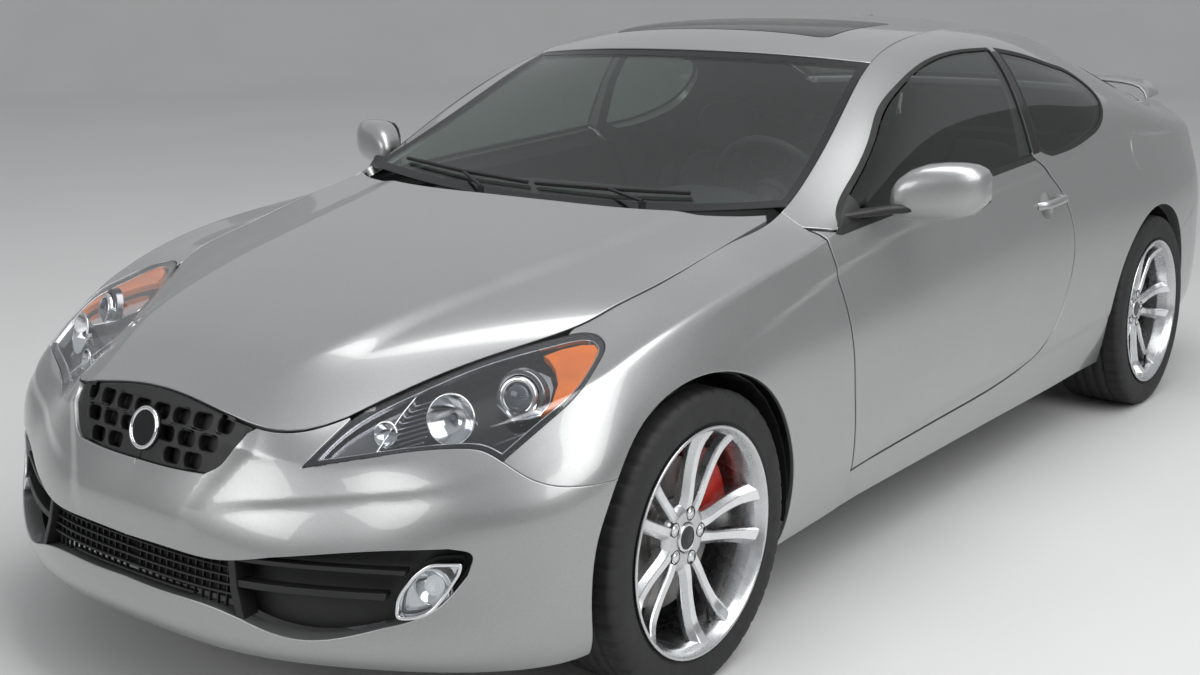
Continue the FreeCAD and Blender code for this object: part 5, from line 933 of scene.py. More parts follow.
mouth = chain(smooth(((0, 387), (160, 389), (292, 392), (330, 398), (387, 410))),
              smooth(((387, 410), (598, 440), (715, 452))),
              rounded(((715, 452), (758, 446), (745, 400)), 30, closed=False),
              smooth(((745, 400), (687, 325), (610, 293))), smooth(((610, 293), (460, 258), (341, 283))),
              smooth(((341, 283), (300, 292), (123, 300), (0, 302))))
grille_half = chain(smooth(GRILLE_OUTLINE[:4]), rounded(GRILLE_OUTLINE[3:8], 14, closed=False),
                    smooth(GRILLE_OUTLINE[7:]))
nose_corner = int(np.argmin(((grille_half - (286, 632)) ** 2).sum(1)))


def bumper_loop():
    """The outline of the left half of the front bumper, round the grille and the mouth."""
    grille = on_nose(grille_half[nose_corner:], FRONT_VIEW, GRILLE_RANGE)
    bridge = upright(NOSE, v_at(NOSE, 540), v_at(NOSE, 387), 10)
    opening = on_nose(mouth, FRONT_VIEW, MOUTH_RANGE)
    chin = upright(NOSE, v_at(NOSE, 302), 0, 10)
    low = level(0, station_at(0, -1836, (700, 1480)), 0)
    arch = SIDE.find(arc(front_axle, FRONT_ARCH, 201, 143.5), SIDE_VIEW, (800, 1500))
    seam = SIDE.find(bumper_seam[::-1], SIDE_VIEW, SEAM_RANGE)
    lamp = on_nose(lamp_under, lamp_view, (300, 1100))
    inner = on_nose(lamp_spots[:2], lamp_view, (300, 900))
    return chain(grille, bridge, opening, chin, low, arch, seam, lamp, inner, level(597, 302, DITCH))


def rear_bumper_loops():
    """The outline of the left half of the rear bumper, and the cut-out for a tailpipe."""
    low = level(station_at(0, 1696, (4300, 5000)), TAIL, 0)
    recess = rounded(((0, 420), (270, 420), (270, 560), (0, 560)), 20, closed=False)
    plate = SIDE.find(dense(recess), FRONT_VIEW, (5400, TAIL))
    under, over = upright(TAIL, 0, v_at(TAIL, 420), 10), upright(TAIL, v_at(TAIL, 560), v_at(TAIL, 714), 10)
    top = height_line(np.linspace(TAIL, 5060, 60), 714)
    line = on_side(bumper_rear_line[::-1], REAR_RANGE)
    arch = SIDE.find(arc(rear_axle, REAR_ARCH, 41, -17), SIDE_VIEW, (4300, 4900))
    pipe = SIDE.find(arc((470, 262), 56, 0, 360), FRONT_VIEW, (5200, TAIL), (0, 300))
    return [chain(low, under, plate, over, top, line, arch), pipe]


SIDES = ("left", "right")
BODYWORK = [PAINT, INNER]

side_form = shell(SIDE, body_side_loops(), wall_depth, step=15)
fender_form = shell(SIDE, [fender_loop()], 10, step=15)
bumper_form = shell(SIDE, [bumper_loop()], 40, step=12, halved=True)
tail_form = shell(SIDE, rear_bumper_loops(), 40, halved=True)
for name, form, nodes in (("body_side_skin", side_form, ("body_side_left", "body_side_right")),
                          ("fender_skin", fender_form, ("front_fenders", None))):
    for side, node in zip(SIDES, nodes):
        piece(f"{name}_{side}", sided(form, side), BODYWORK, "body", "paint", *([node] if node else []))
piece("front_bumper_skin", both_sides(bumper_form), BODYWORK, "body", "paint", "front_bumper")
piece("rear_bumper_skin", both_sides(tail_form), BODYWORK, "body", "paint", "rear_bumper")

handle_cup = arc((382, 829), 43, 0, 360, 36)
door_form = shell(SIDE, [on_side(door_panel), on_side(handle_cup)], 28, step=15)
lining_form = shell(SIDE, [on_side(moved_out(door_curve, -GAP - 13))], 72, sink=28, back=0)
for side in SIDES:
    piece(f"door_skin_{side}", sided(door_form, side), BODYWORK, f"door_{side}", "paint", f"door_{side}")
    piece(f"door_lining_{side}", sided(lining_form, side), [DASH], f"door_{side}", "dash")


# Top panels

def top_loop(first, last, gap, rear=None):
    """A loop along both ditch lines, a gap inside them, and across at the ends."""
    stations = np.linspace(first, last, int(abs(last - first) / 20) + 2)
    v = 1 - gap / ditch(stations)[:, 0]
    left = np.stack([stations, v], 1)
    if rear is None:
        rear = upright(last, v[-1], -v[-1], 40)
    return chain(left, rear, (left * (1, -1))[::-1], upright(first, -v[0], v[0], 40))


HOOD_REAR = smooth(((0, -1030), (379, -1018), (560, -985), (665, -945), (702, -921)))
hood_rear = HOOD.find(np.vstack([HOOD_REAR[::-1], HOOD_REAR[1:] * (-1, 1)]), PLAN_VIEW)
hood_form = shell(HOOD, [top_loop(609, 2050, GAP, hood_rear)], 24, step=15)
piece("hood_skin", hood_form, BODYWORK, "hood", "paint", "hood")

SUNROOF = rounded(((392, -92), (392, 327), (-392, 327), (-392, -92)), 40)
around, pane = [ROOF.find(dense(moved_out(SUNROOF, distance)), PLAN_VIEW) for distance in (2, -1)]
piece("roof_skin", shell(ROOF, [top_loop(2791, 4059, 1.9), around], 30), BODYWORK, "body", "paint", "roof_panel")
piece("sunroof_pane", shell(ROOF, [pane], 5, 1.2), [GLOSS_BLACK, GLOSS_BLACK], "body", "dark_glass", "sunroof_glass")
for name, skin, first, last, glass in (("windshield", WINDSHIELD, 2152, 2780, PANE),
                                       ("rear_window", REAR_WINDOW, 4070, 4590, SIDE_PANE)):
    piece(f"{name}_pane", shell(skin, [top_loop(first, last, 3)], 5, 1.2), [glass, glass], "body", "glass", name)

LID_EDGE = 5456.0
lid_form = shell(DECK, [top_loop(4614, 5284, GAP)], 24)
low_line = height_line(np.linspace(LID_EDGE, TAIL, 20), 722)
lid_loop = chain(low_line, upright(TAIL, low_line[-1, 1], DITCH, 12), level(TAIL, LID_EDGE, DITCH),
                 upright(LID_EDGE, DITCH, low_line[0, 1], 10))
lid_rear = both_sides(shell(SIDE, [lid_loop], 24, halved=True))
piece("trunk_lid_skin", lid_form.joined(lid_rear), BODYWORK, "trunk", "paint", "trunk_lid")

door_glass = on_side(moved_out(looped(chain(window_top, window_rear)), -6))
quarter_glass = on_side(moved_out(quarter_curve, -2))
for side in SIDES:
    piece(f"door_pane_{side}", sided(shell(SIDE, [door_glass], 5, 1.2, sink=3), side), [SIDE_PANE, SIDE_PANE],
          f"door_{side}", "glass", f"door_glass_{side}")
    both_panes = ["quarter_glass"] if side == "left" else []
    piece(f"quarter_pane_{side}", sided(shell(SIDE, [quarter_glass], 5, 1.2, sink=2), side), [SIDE_PANE, SIDE_PANE],
          "body", "glass", *both_panes)


# More forms: grids, turned pieces, bars and lofts

def surface(form, rows, slot=0, wrap=False, flip=False, ends=False):
    """A smooth sheet over rows of points in millimetres; its rows may be rings, with flat ends."""
    rows = np.asarray(rows, float)
    across = np.pad(rows, ((1, 1), (0, 0), (0, 0)), "edge")
    ahead = np.pad(rows, ((0, 0), (1, 1), (0, 0)), "wrap" if wrap else "edge")
    normals = unit(np.cross(across[2:] - across[:-2], ahead[:, 2:] - ahead[:, :-2])) * (-1 if flip else 1)
    count, size = rows.shape[:2]
    faces = []
    for i in range(count - 1):
        for j in range(size if wrap else size - 1):
            k = (j + 1) % size
            face = [i * size + j, (i + 1) * size + j, (i + 1) * size + k, i * size + k]
            faces.append(face[::-1] if flip else face)
    form.add(rows.reshape(-1, 3) * MM, normals.reshape(-1, 3), faces, slot)
    for ring, inner in ((rows[0], rows[1]), (rows[-1], rows[-2])) if ends else ():
        way = ring.mean(0) - inner.mean(0)
        whole = np.cross(ring - ring[0], np.roll(ring, -1, 0) - ring[0]).sum(0)
        face = range(size) if whole @ way > 0 else range(size)[::-1]
        form.add(ring * MM, np.tile(unit(way), (size, 1)), [face], slot)
    return form


def frame_of(axis):
    """Two directions across an axis."""
    axis = unit(np.asarray(axis, float))
    guide = np.array((0, 0, 1.0)) if abs(axis[2]) < 0.9 else np.array((1.0, 0, 0))
    across = unit(np.cross(guide, axis))
    return axis, across, np.cross(axis, across)


def circle(across, up, count):
    """Points round an ellipse, from its two half axes."""
    turns = np.arange(count) * 2 * np.pi / count
    return np.cos(turns)[:, None] * across + np.sin(turns)[:, None] * up


def lathe(form, centre, axis, profile, steps=48, slot=0, closed=False, flip=False):
    """A piece turned round an axis through a centre; the profile's columns are along the axis and radius."""
    axis, across, up = frame_of(axis)
    profile = looped(opened(profile)) if closed else np.asarray(profile, float)
    rows = np.asarray(centre) + profile[:, :1, None] * axis + profile[:, 1:, None] * circle(across, up, steps)
    return surface(form, rows, slot, wrap=True, flip=flip)


def tube(form, path, radius, sides=12, slot=0):
    """A round bar along a path; the radius may be one for each point."""
    path = np.asarray(path, float)
    ways = unit(np.gradient(path, axis=0))
    across = frame_of(ways[0])[1]
    rows = []
    for point, way, size in zip(path, ways, np.broadcast_to(radius, len(path))):
        across = unit(across - way * (across @ way))
        rows.append(point + size * circle(across, np.cross(way, across), sides))
    return surface(form, rows, slot, wrap=True, ends=True, flip=True)


def turn_x(points, degrees):
    """Points turned round the X axis."""
    c, s = math.cos(math.radians(degrees)), math.sin(math.radians(degrees))
    return np.asarray(points, float) @ np.array([[1, 0, 0], [0, c, s], [0, -s, c]])


# Wheels

AXLE = ((0, 0, 0), (1, 0, 0))
RIM_BORE, BEAD, LIP, BARREL = 22.3, 241.0, 254.0, 226.0
HUB_FACE = 40.0
TREAD_STEPS = 288
SPOKE_TURN = 38.0


def tyre_form(width, radius):
    """A tyre round the X axis, with four grooves and sipes in its shoulders."""
    half = width / 2

    def crown(t, deep=0.0):
        """A point of the tread at a share of the half width."""
        return t, radius - 2.2 * (t / 0.84) ** 2 - deep

    side = [(0.915, LIP - 2), (0.93, LIP + 4), (0.955, LIP + 7), (0.975, LIP + 10), (0.97, LIP + 16), (0.985, LIP + 26),
            (0.99, radius - 36), (0.975, radius - 22), (0.945, radius - 12), (0.90, radius - 5.5), (0.84, radius - 2.2)]
    side += [crown(t) for t in (0.78, 0.7, 0.62, 0.53)]
    profile = list(side)
    for middle in (0.46, 0.16, -0.16, -0.46):
        for shift, deep in ((0.038, 0), (0.030, 6.5), (-0.030, 6.5), (-0.038, 0)):
            profile.append(crown(middle + shift, deep))
        if middle > -0.4:
            profile.append(crown(middle - 0.15))
    profile = np.array(profile + [(-t, r) for t, r in reversed(side)])
    profile[:, 0] *= half
    # cuts across the tread: deep ones in the shoulders, shallow ones in the ribs between
    number = np.arange(TREAD_STEPS)
    deep = np.zeros((len(profile), TREAD_STEPS))
    is_outer = np.abs(profile[:, 0]) > 0.52 * half
    deep[np.ix_(is_outer & (profile[:, 1] > radius - 14), number % 6 == 0)] = 4.0
    deep[np.ix_(~is_outer & (profile[:, 1] > radius - 4), number % 8 == 3)] = 2.0
    r = profile[:, 1:] - deep
    turns = number * 2 * np.pi / TREAD_STEPS
    rows = np.stack([np.broadcast_to(profile[:, :1], r.shape), r * np.cos(turns), r * np.sin(turns)], -1)
    form = surface(Form(), rows, wrap=True)
    bead = [(-0.915, LIP - 2), (-0.91, BEAD + 1), (0.91, BEAD + 1), (0.915, LIP - 2)]
    return lathe(form, *AXLE, [(t * half, r) for t, r in bead], 96)


def spoke_section(width, depth, side):
    """The section of a spoke: across, and down from its face; the bevel is on the side away from its twin."""
    half = width / 2
    corners = [(-half, -depth), (-half, -5), (-half + 4, 0), (half - 0.34 * width, 0), (half, -13), (half, -depth)]
    return opened(rounded([(a * side, b) for a, b in corners][::side], 2.2, steps=4))


def rim_form(width):
    """A rim round the X axis: barrel, five pairs of spokes, hub, nuts and a blank cap."""
    half = width / 2
    form = Form()
    outer = [(half - 0.3, LIP - 0.5), (half - 0.3, LIP - 7), (half - 9, LIP - 13), (half - 24, BARREL + 8),
             (half - 60, BARREL + 1), (-half + 40, BARREL), (-half + 6, BARREL + 3), (-half, LIP - 8),
             (-half, LIP - 0.5), (-half + 7, LIP - 0.5), (-half + 9, BEAD), (half - 9, BEAD), (half - 7, LIP - 0.5)]
    lathe(form, *AXLE, rounded(outer, 3, steps=4), 144, 0, closed=True, flip=True)
    edge = half - 14
    reach = np.linspace(56, BARREL + 10, 26)
    knots = np.array([50.0, 80, 120, 165, 205, 240])
    # columns: how far out the spoke's face is, its width and depth, and how far it is from the middle of its pair
    table = ((58, 38, 30, 17), (64, 34, 30, 22), (66, 32, 27, 30), (70, 34, 26, 39), (80, 38, 26, 47),
             (edge + 3, 45, 26, 54))
    curves = weights(knots, bends(knots), reach) @ np.array(table, float)
    for index in range(5):
        for side in (-1, 1):
            rows = [[(front + b, side * shift + a, distance) for a, b in spoke_section(width, depth, side)]
                    for distance, (front, width, depth, shift) in zip(reach, curves)]
            rows = turn_x(rows, 90 - SPOKE_TURN - 72 * index)
            spoke = surface(Form(), rows, wrap=True, flip=True, ends=True)
            count = len(rows[0])
            is_face = np.abs(spoke_section(40, 26, side)[:, 1]) < 0.6
            for number in range((len(rows) - 1) * count):
                if all(is_face[point % count] for point in spoke.faces[number]):
                    spoke.slots[number] = 1
            form = form.joined(spoke)
    face = HUB_FACE
    hub = [(face - 20, 78), (face + 6, 78), (face + 15, 72), (face + 21, 60), (face + 22, 44), (face + 20, 33),
           (face + 12, 32), (face + 12, 2)]
    lathe(form, *AXLE, rounded(hub, 4, closed=False, steps=4), 96, 0)
    cap = [(face + 12, 31.5), (face + 21, 31), (face + 23.5, 29), (face + 23.5, 26)]
    lathe(form, *AXLE, rounded(cap, 1.5, closed=False, steps=4), 64, 1)
    lathe(form, *AXLE, [(face + 23.5, 26), (face + 22.4, 25.5), (face + 24.5, 14), (face + 25, 0.1)], 64, 2)
    for index in range(5):
        turn = math.radians(SPOKE_TURN + 36 + 72 * index)
        middle = np.array((face, 53 * math.cos(turn), 53 * math.sin(turn)))
        lathe(form, middle, (1, 0, 0), [(21.3, 16.5), (22.6, 15), (22.0, 14), (8, 13), (8, 0.1)], 32, 2)
        nut = [(8, 10.5), (21, 10.5), (23.5, 8), (25, 4), (25.2, 0.1)]
        lathe(form, middle, (1, 0, 0), rounded(nut, 1.0, closed=False, steps=3), 6, 1)
    valve = turn_x([(edge - 30, 0, BARREL - 1), (edge - 27, 0, BARREL - 22), (edge - 25, 0, BARREL - 34)], 200)
    tube(form, valve, (5, 4.5, 3.5), 10, 2)
    return form


def disc_form():
    """A brake disc with its hat, round the X axis."""
    rotor = HUB_FACE - 31
    plate = [(-26, 72), (-26, 168), (-16, 168), (-16, 160), (-10, 160), (-10, 168), (0, 168), (0, 80), (20, 76),
             (30, 74), (30, RIM_BORE + 2), (-4, RIM_BORE + 2), (-4, 72)]
    profile = rounded([(rotor + along, radius) for along, radius in plate], 1.2, steps=3)
    return lathe(Form(), *AXLE, profile, 96, closed=True, flip=True)


# columns: end of the car, y of the axle, radius and width of the tyre, x of the wheel's middle
for end, axle, radius, width, track in (("front", -1490, 331, 225, 800), ("rear", 1330, 339, 245, 807.5)):
    tyre, rim, disc = tyre_form(width, radius), rim_form(width), disc_form()
    for side in SIDES:
        corner = f"{end}_{side}"
        for name, form, materials, slot, replaced in (
                ("tyre_tread", tyre, [TYRE], "tyre", [f"tyre_{corner}"]),
                ("rim_spokes", rim, [ALLOY, MACHINED, GLOSS_BLACK], "alloy", [f"rim_{corner}"]),
                ("brake_disc", disc, [CAST], "alloy", [])):
            piece(f"{name}_{corner}", sided(form, side, (track, axle, radius)), materials, f"wheel_{corner}", slot,
                  *replaced)


# The nose: grille, intakes and lamps

EMBLEM_HEIGHT = 602


def band(line, width):
    """A closed outline round a flat polyline, of one width."""
    line = dense(line, 8)
    way = unit(np.gradient(line, axis=0))
    aside = np.stack([-way[:, 1], way[:, 0]], 1) * width / 2
    return np.vstack([line + aside, (line - aside)[::-1], (line + aside)[:1]])


def nose_shell(loops, view, thick, sink, radius=1.5, u_range=NOSE_RANGE, step=18.0, form=None, slot=0):
    """A sheet on the skin of the nose inside flat outlines, at a depth under it."""
    found = [on_nose(loop, view, u_range) for loop in loops]
    return shell(SIDE, found, thick, radius, step, sink, back=slot, form=form, slot=slot)


def hole_outline(x, z, half_width, half_height):
    """A hole of the grille."""
    corners = [(x + a * half_width, z + b * half_height) for a, b in ((-1, -1), (1, -1), (1, 1), (-1, 1))]
    return rounded(corners, half_height * 0.95, steps=5)


def grille_form():
    """The left half of the grille: a frame and a plate with three rows of recesses."""
    top = DITCH - 3
    side = on_nose(grille_half[nose_corner:], FRONT_VIEW, GRILLE_RANGE)
    outer = chain(level(0, 290, top), side, upright(NOSE, side[-1, 1], top, 12))
    holes = []
    # columns: height of the row, x of its first hole, how many
    for z, first, count in ((641, 32, 4), (602, 64, 3), (564, 32, 3)):
        for x in range(first, first + 64 * count, 64):
            half_width = 26 if x < 200 or z < 640 else 20
            if math.hypot(x, z - EMBLEM_HEIGHT) > 50:
                holes.append(on_nose(hole_outline(x, z, half_width, 14.5), FRONT_VIEW, GRILLE_RANGE))
    form = shell(SIDE, [outer] + holes, 20, 4, 16, sink=9, halved=True, back=0)
    return shell(SIDE, [outer], 3, 1, 30, sink=36, halved=True, back=0, form=form)


def emblem_form():
    """The round blank plate in the middle of the grille, with its bright rim."""
    form = Form()
    centre = SIDE.find([(0, EMBLEM_HEIGHT)], FRONT_VIEW, (0, 100))
    spot, normal, _ = SIDE.place(centre)
    spot, normal = spot[0] * (0, 1, 1), unit(normal[0] * (0, 1, 1))
    lathe(form, spot, normal, rounded([(-14, 47), (-5, 47), (-3, 44), (-3, 0.1)], 1.5, closed=False), 72, 0)
    turn = np.linspace(0, 2 * np.pi, 17)[:-1]
    rim = np.stack([-3 + 4 * np.sin(turn), 41.5 + 4.5 * np.cos(turn)], 1)
    return lathe(form, spot, normal, rim, 72, 1, closed=True)


piece("grille_plate", both_sides(grille_form()), [BLACK], "body", "black_trim", "upper_grille")
piece("grille_disc", emblem_form(), [GLOSS_BLACK, CHROME], "body", "black_trim")


def bar_along(form, stations, height, width, thick, sink):
    """A horizontal bar on the skin of the nose at a height."""
    line = height_line(stations, height)
    loop = np.vstack([line + (0, width / 2), (line - (0, width / 2))[::-1]])
    return shell(SIDE, [loop], thick, 2, 30, sink, back=0, form=form)


def intake_form():
    """The left half of the mouth under the bumper: mesh in the middle, fins in the pocket, frame and floor."""
    opening = on_nose(mouth, FRONT_VIEW, MOUTH_RANGE)
    whole = chain(opening, upright(NOSE, opening[-1, 1], opening[0, 1], 8))
    form = shell(SIDE, [whole], 3, 1, 30, sink=62, halved=True, back=0)
    for height in (375, 358, 341, 324, 309):
        bar_along(form, np.linspace(0, 312 if height > 315 else 200, 20), height, 5, 14, 16)
    for x in np.arange(22, 300, 22):
        web = ((x, 384 if x < 250 else 388), (x, 304 if x < 200 else 296))
        nose_shell([band(web, 3.2)], FRONT_VIEW, 8, 22, 1, (0, 500), 30, form)
    for height, last in ((398, 700), (350, 660)):
        bar_along(form, np.linspace(318, last, 26), height, 17, 34, 7)
    post = ((306, 398), (316, 340), (338, 280))
    return nose_shell([band(post, 16)], FRONT_VIEW, 50, 3, 2, GRILLE_RANGE, 30, form)


piece("intake_mesh", both_sides(intake_form()), [BLACK], "body", "black_trim", "lower_grilles")

pocket_view = view_along(POCKET_AXIS)
fog_curve = rounded(np.array(FOG_LAMP_OUTLINE, float) @ pocket_view.T, 16)


def bowl(form, centre, axis, radius, deep, slot=0, steps=40):
    """A round reflector bowl with its rim."""
    profile = [(-deep * (1 - t * t), 0.1 + radius * t) for t in np.linspace(0, 1, 10)]
    profile += [(0.5, radius), (0.5, radius + 2.5), (-3, radius + 3)]
    return lathe(form, centre, axis, profile, steps, slot, flip=True)


def dome(form, centre, axis, radius, rise, slot=0, steps=40):
    """A round lens."""
    turns = np.linspace(0, np.pi / 2, 8)
    profile = [(rise * math.cos(t), max(0.1, radius * math.sin(t))) for t in turns[::-1]]
    return lathe(form, centre, axis, profile, steps, slot)


def fog_form():
    """The left fog lamp: bright surround, bowl and housing."""
    form = Form()
    inner = moved_out(fog_curve, -7)
    # columns: loops, thickness, depth, edge radius, mesh step, slot
    sheets = (([fog_curve, inner], 26, 1, 2.5, 20, 0), ([fog_curve], 3, 48, 1, 30, 1), ([inner], 3, 40, 1, 30, 0))
    for loops, thick, sink, radius, step, slot in sheets:
        nose_shell(loops, pocket_view, thick, sink, radius, FOG_RANGE, step, form, slot)
    centre = np.array((684, -2098, 366.0)) - 20 * unit(np.array(POCKET_AXIS))
    return bowl(form, centre, POCKET_AXIS, 36, 24)


fog_pane = nose_shell([moved_out(fog_curve, -5)], pocket_view, 3, 5, 1, FOG_RANGE, 20)
piece("fog_lamp_bowls", both_sides(fog_form()), [CHROME, BLACK], "body", "lamp_lens", "fog_lamps")
piece("fog_lamp_panes", both_sides(fog_pane), [CLEAR], "body", "lamp_lens")


# Headlamps: all outlines as points on the skin, seen along the lamp's axis

def lamp_flat(points):
    """Points on the nose in the lamp's flat view."""
    return np.array(points, float) @ lamp_view.T


lamp_curve = looped(np.vstack([lamp_top, lamp_side, lamp_under]))
AMBER_EDGE = (
    (647, -1719, 757), (670, -1680, 769), (700, -1649, 777), (728, -1637, 779), (750, -1651, 772), (769, -1689, 757),
    (790, -1764, 729), (795, -1822, 705), (785, -1855, 690), (773, -1874, 684), (768, -1836, 704), (740, -1783, 725),
    (703, -1746, 741), (671, -1726, 752),
)
BRIGHT_EDGE = (
    (635, -1765, 742), (660, -1742, 747), (694, -1746, 742), (724, -1774, 729), (751, -1822, 710), (757, -1858, 696),
    (740, -1875, 691), (700, -1880, 680), (640, -1860, 700), (610, -1810, 725),
)
TIP_LINE = ((492, -1931, 690), (499, -1980, 666), (509, -2031, 637), (518, -2077, 609))
BOWL_LINE = ((543, -1873, 709), (548, -1929, 684), (560, -1984, 656), (584, -2022, 636))


def headlamp_form():
    """What is behind the left headlamp's lens."""
    form = Form()
    border = moved_out(lamp_curve, -13)
    amber = moved_out(looped(lamp_flat(AMBER_EDGE)), -3)
    bright = looped(lamp_flat(BRIGHT_EDGE))
    tip, low = lamp_flat(TIP_LINE), lamp_flat(BOWL_LINE)
    parts = between(border, tip[-1], tip[0]), between(border, tip[0], tip[-1])
    inner_tip = looped(min(parts, key=lambda part: abs(signed_area(part))))
    ribs = [np.array([line[0] + (line[-1] - line[0]) * share for line in (tip, low)])
            for share in np.linspace(0.08, 0.92, 9)]
    # columns: loops, thickness, depth, edge radius, mesh step, slot
    sheets = [([lamp_curve, border], 30, 5, 2, 16, 1), ([moved_out(lamp_curve, -3)], 3, 52, 1, 30, 1),
              ([moved_out(lamp_curve, -12), moved_out(lamp_curve, -15.5)], 10, 7, 1.2, 16, 2),
              ([amber], 16, 9, 3, 14, 3), ([bright], 8, 30, 3, 14, 2), ([inner_tip], 6, 26, 2, 14, 4),
              ([band(tip, 4)], 40, 8, 1.5, 14, 2)]
    sheets += [([band(rib, 3.5)], 18, 24, 1.2, 14, 4) for rib in ribs]
    for loops, thick, sink, radius, step, slot in sheets:
        nose_shell(loops, lamp_view, thick, sink, radius, LAMP_RANGE, step, form, slot)
    forward = unit(np.array((0.30, -0.93, 0.22)))
    bowl(form, np.array((626, -1978, 668.0)) + forward * -12, forward, 50, 36, 2, 56)
    dome(form, np.array((626, -1978, 668.0)) - forward * 30, forward, 9, 12, 5, 24)
    bowl(form, np.array((508, -2040, 632.0)) - forward * 8, forward, 24, 20, 2, 40)
    middle = np.array((699, -1861, 700.0)) - forward * 16
    ring = [(-34, 30), (-34, 42), (-4, 42), (2, 39), (2, 31), (-4, 27), (-34, 27)]
    lathe(form, middle, forward, rounded(ring, 2.5, steps=4), 64, 2, closed=True, flip=True)
    dome(form, middle - forward * 4, forward, 27, 14, 5, 48)
    shroud = [(-30, 58), (-12, 54), (-8, 44), (-14, 42)]
    return lathe(form, middle, forward, rounded(shroud, 4, closed=False), 64, 4)


lamp_inner = headlamp_form()
lens = nose_shell([moved_out(lamp_curve, -1.5)], lamp_view, 3, 0.6, 1.2, LAMP_RANGE, 16)
LAMP_FINISHES = [DARK_CHROME, GLOSS_BLACK, CHROME, AMBER, DARK_CHROME, BULB]
for side in SIDES:
    both_lamps = ["headlamps"] if side == "left" else []
    piece(f"headlamp_inner_{side}", sided(lamp_inner, side), LAMP_FINISHES, "body", "lamp_lens", *both_lamps)
    piece(f"headlamp_lens_{side}", sided(lens, side), [CLEAR], "body", "lamp_lens")


# Glass edges, mirrors, handles and the other details of the sides

def edge_band(loop, out, inwards, chosen):
    """The part of a band along a closed outline where the outline's points are chosen."""
    outer, inner, loop = moved_out(loop, out)[:-1], moved_out(loop, -inwards)[:-1], chain(loop)[:-1]
    picked = np.flatnonzero(chosen(loop))
    split = np.flatnonzero(np.diff(picked) > 1)
    if len(split):
        picked = np.r_[picked[split[0] + 1:], picked[:split[0] + 1]]
    return looped(np.vstack([outer[picked], inner[picked][::-1]]))


def section_rings(sections, count=40, power=2.6, flat=0.78):
    """Rings for a loft over (x, y, z, half length, half height), with a flatter back."""
    turns = np.arange(count) * 2 * np.pi / count
    c, s = np.cos(turns), np.sin(turns)
    a = np.minimum(np.sign(c) * np.abs(c) ** (2 / power), flat)
    b = np.sign(s) * np.abs(s) ** (2 / power)
    return np.array([np.stack([np.full(count, x), y + deep * a, z + tall * b], 1) for x, y, z, deep, tall in sections])


def mirror_form():
    """The left mirror: painted cap, black foot and glass."""
    form = Form()
    table = ((888, -612, 964, 20, 22), (893, -609, 966, 36, 40), (908, -602, 972, 50, 55), (935, -590, 981, 60, 66),
             (970, -574, 988, 66, 72), (1010, -562, 992, 66, 72), (1045, -552, 995, 62, 69), (1075, -541, 998, 54, 62),
             (1094, -531, 1003, 42, 46), (1102, -527, 1002, 30, 34), (1104.5, -526, 1002, 14, 16))
    surface(form, section_rings(table), wrap=True, ends=True)
    foot = ((832, -716, 936, 62, 12), (870, -690, 942, 44, 11), (905, -655, 948, 32, 12), (940, -622, 950, 26, 13),
            (985, -590, 949, 26, 12), (1020, -575, 950, 22, 9))
    surface(form, section_rings(foot, 24, 2.4, 1), 1, wrap=True, ends=True)
    rows = []
    for x, y, z, deep, tall in table[2:9]:
        rows.append([(x, y + deep * 0.78 + 0.8, z + t * tall * 0.84) for t in np.linspace(-1, 1, 9)])
    surface(form, rows, 2, flip=True)
    rim = looped([row[0] for row in rows] + [row[-1] for row in rows][::-1])
    return tube(form, rim, 2.4, 8, 1)


SAIL = ((-826, 911), (-700, 918.5), (-700, 987), (-777, 944))
sail_curve = moved_out(looped(SAIL), -2)
opening_curve = np.vstack([chain(window_top, window_rear, belt_line[1:-1]), window_top[:1]])
mirror_left = mirror_form()
BELT_SLOPE = 0.062
door_band = edge_band(opening_curve, 13, 5, lambda p: p[:, 1] < 912 + (p[:, 0] + 826) * BELT_SLOPE)
top_band = edge_band(opening_curve, 4, 4, lambda p: p[:, 1] > 915 + (p[:, 0] + 826) * BELT_SLOPE)
quarter_band = [moved_out(quarter_curve, 7), moved_out(quarter_curve, -6)]
pillar_strip = rounded(((361, 984), (378, 1290), (414, 1290), (408, 986)), 4)
# columns: y, z, height over the skin
HANDLE_PATH = ((326, 833, -2), (338, 833, 14), (362, 833.5, 25), (400, 835, 27), (440, 836.5, 26), (474, 838, 22),
               (496, 838.5, 15), (500, 838.5, -2))
HANDLE_RANGE = (2000, 4300)


def handle_form():
    """The left door's pull handle and the cup behind it."""
    form = Form()
    flat = smooth(HANDLE_PATH, 7)
    spots, normals, _ = SIDE.place(SIDE.find(flat[:, :2], SIDE_VIEW, HANDLE_RANGE))
    path = spots + normals * flat[:, 2:]
    rings = []
    for point, normal, way in zip(path, normals, unit(np.gradient(path, axis=0))):
        up = unit(np.cross(way, normal))
        rings.append(point + circle(6.5 * np.cross(up, way), 12.5 * up, 20))
    surface(form, rings, wrap=True, ends=True, flip=True)
    centre, normal, _ = SIDE.place(SIDE.find([(382, 829)], SIDE_VIEW, HANDLE_RANGE))
    profile = [(-2 - 20 * (1 - t ** 2.2), 0.1 + 41 * t) for t in np.linspace(0, 1, 9)] + [(-1.0, 42.6), (-2.5, 44.2)]
    return lathe(form, centre[0], normal[0], profile, 48)


handle = handle_form()
# columns: name, flat outlines, thickness, edge radius, mesh step, how far it stands out, material
DOOR_TRIMS = (
    ("mirror_sail", [sail_curve], 12, 2, 24, 1.5, BLACK),
    ("window_belt", [door_band], 7, 1.5, 16, 1.2, RUBBER),
)
BODY_TRIMS = (
    ("window_seal", [top_band], 6, 1.5, 16, 1.0, RUBBER),
    ("quarter_seal", quarter_band, 6, 1.5, 16, 1.0, RUBBER),
    ("pillar_strip", [pillar_strip], 5, 1.2, 16, 0.6, GLOSS_BLACK),
)


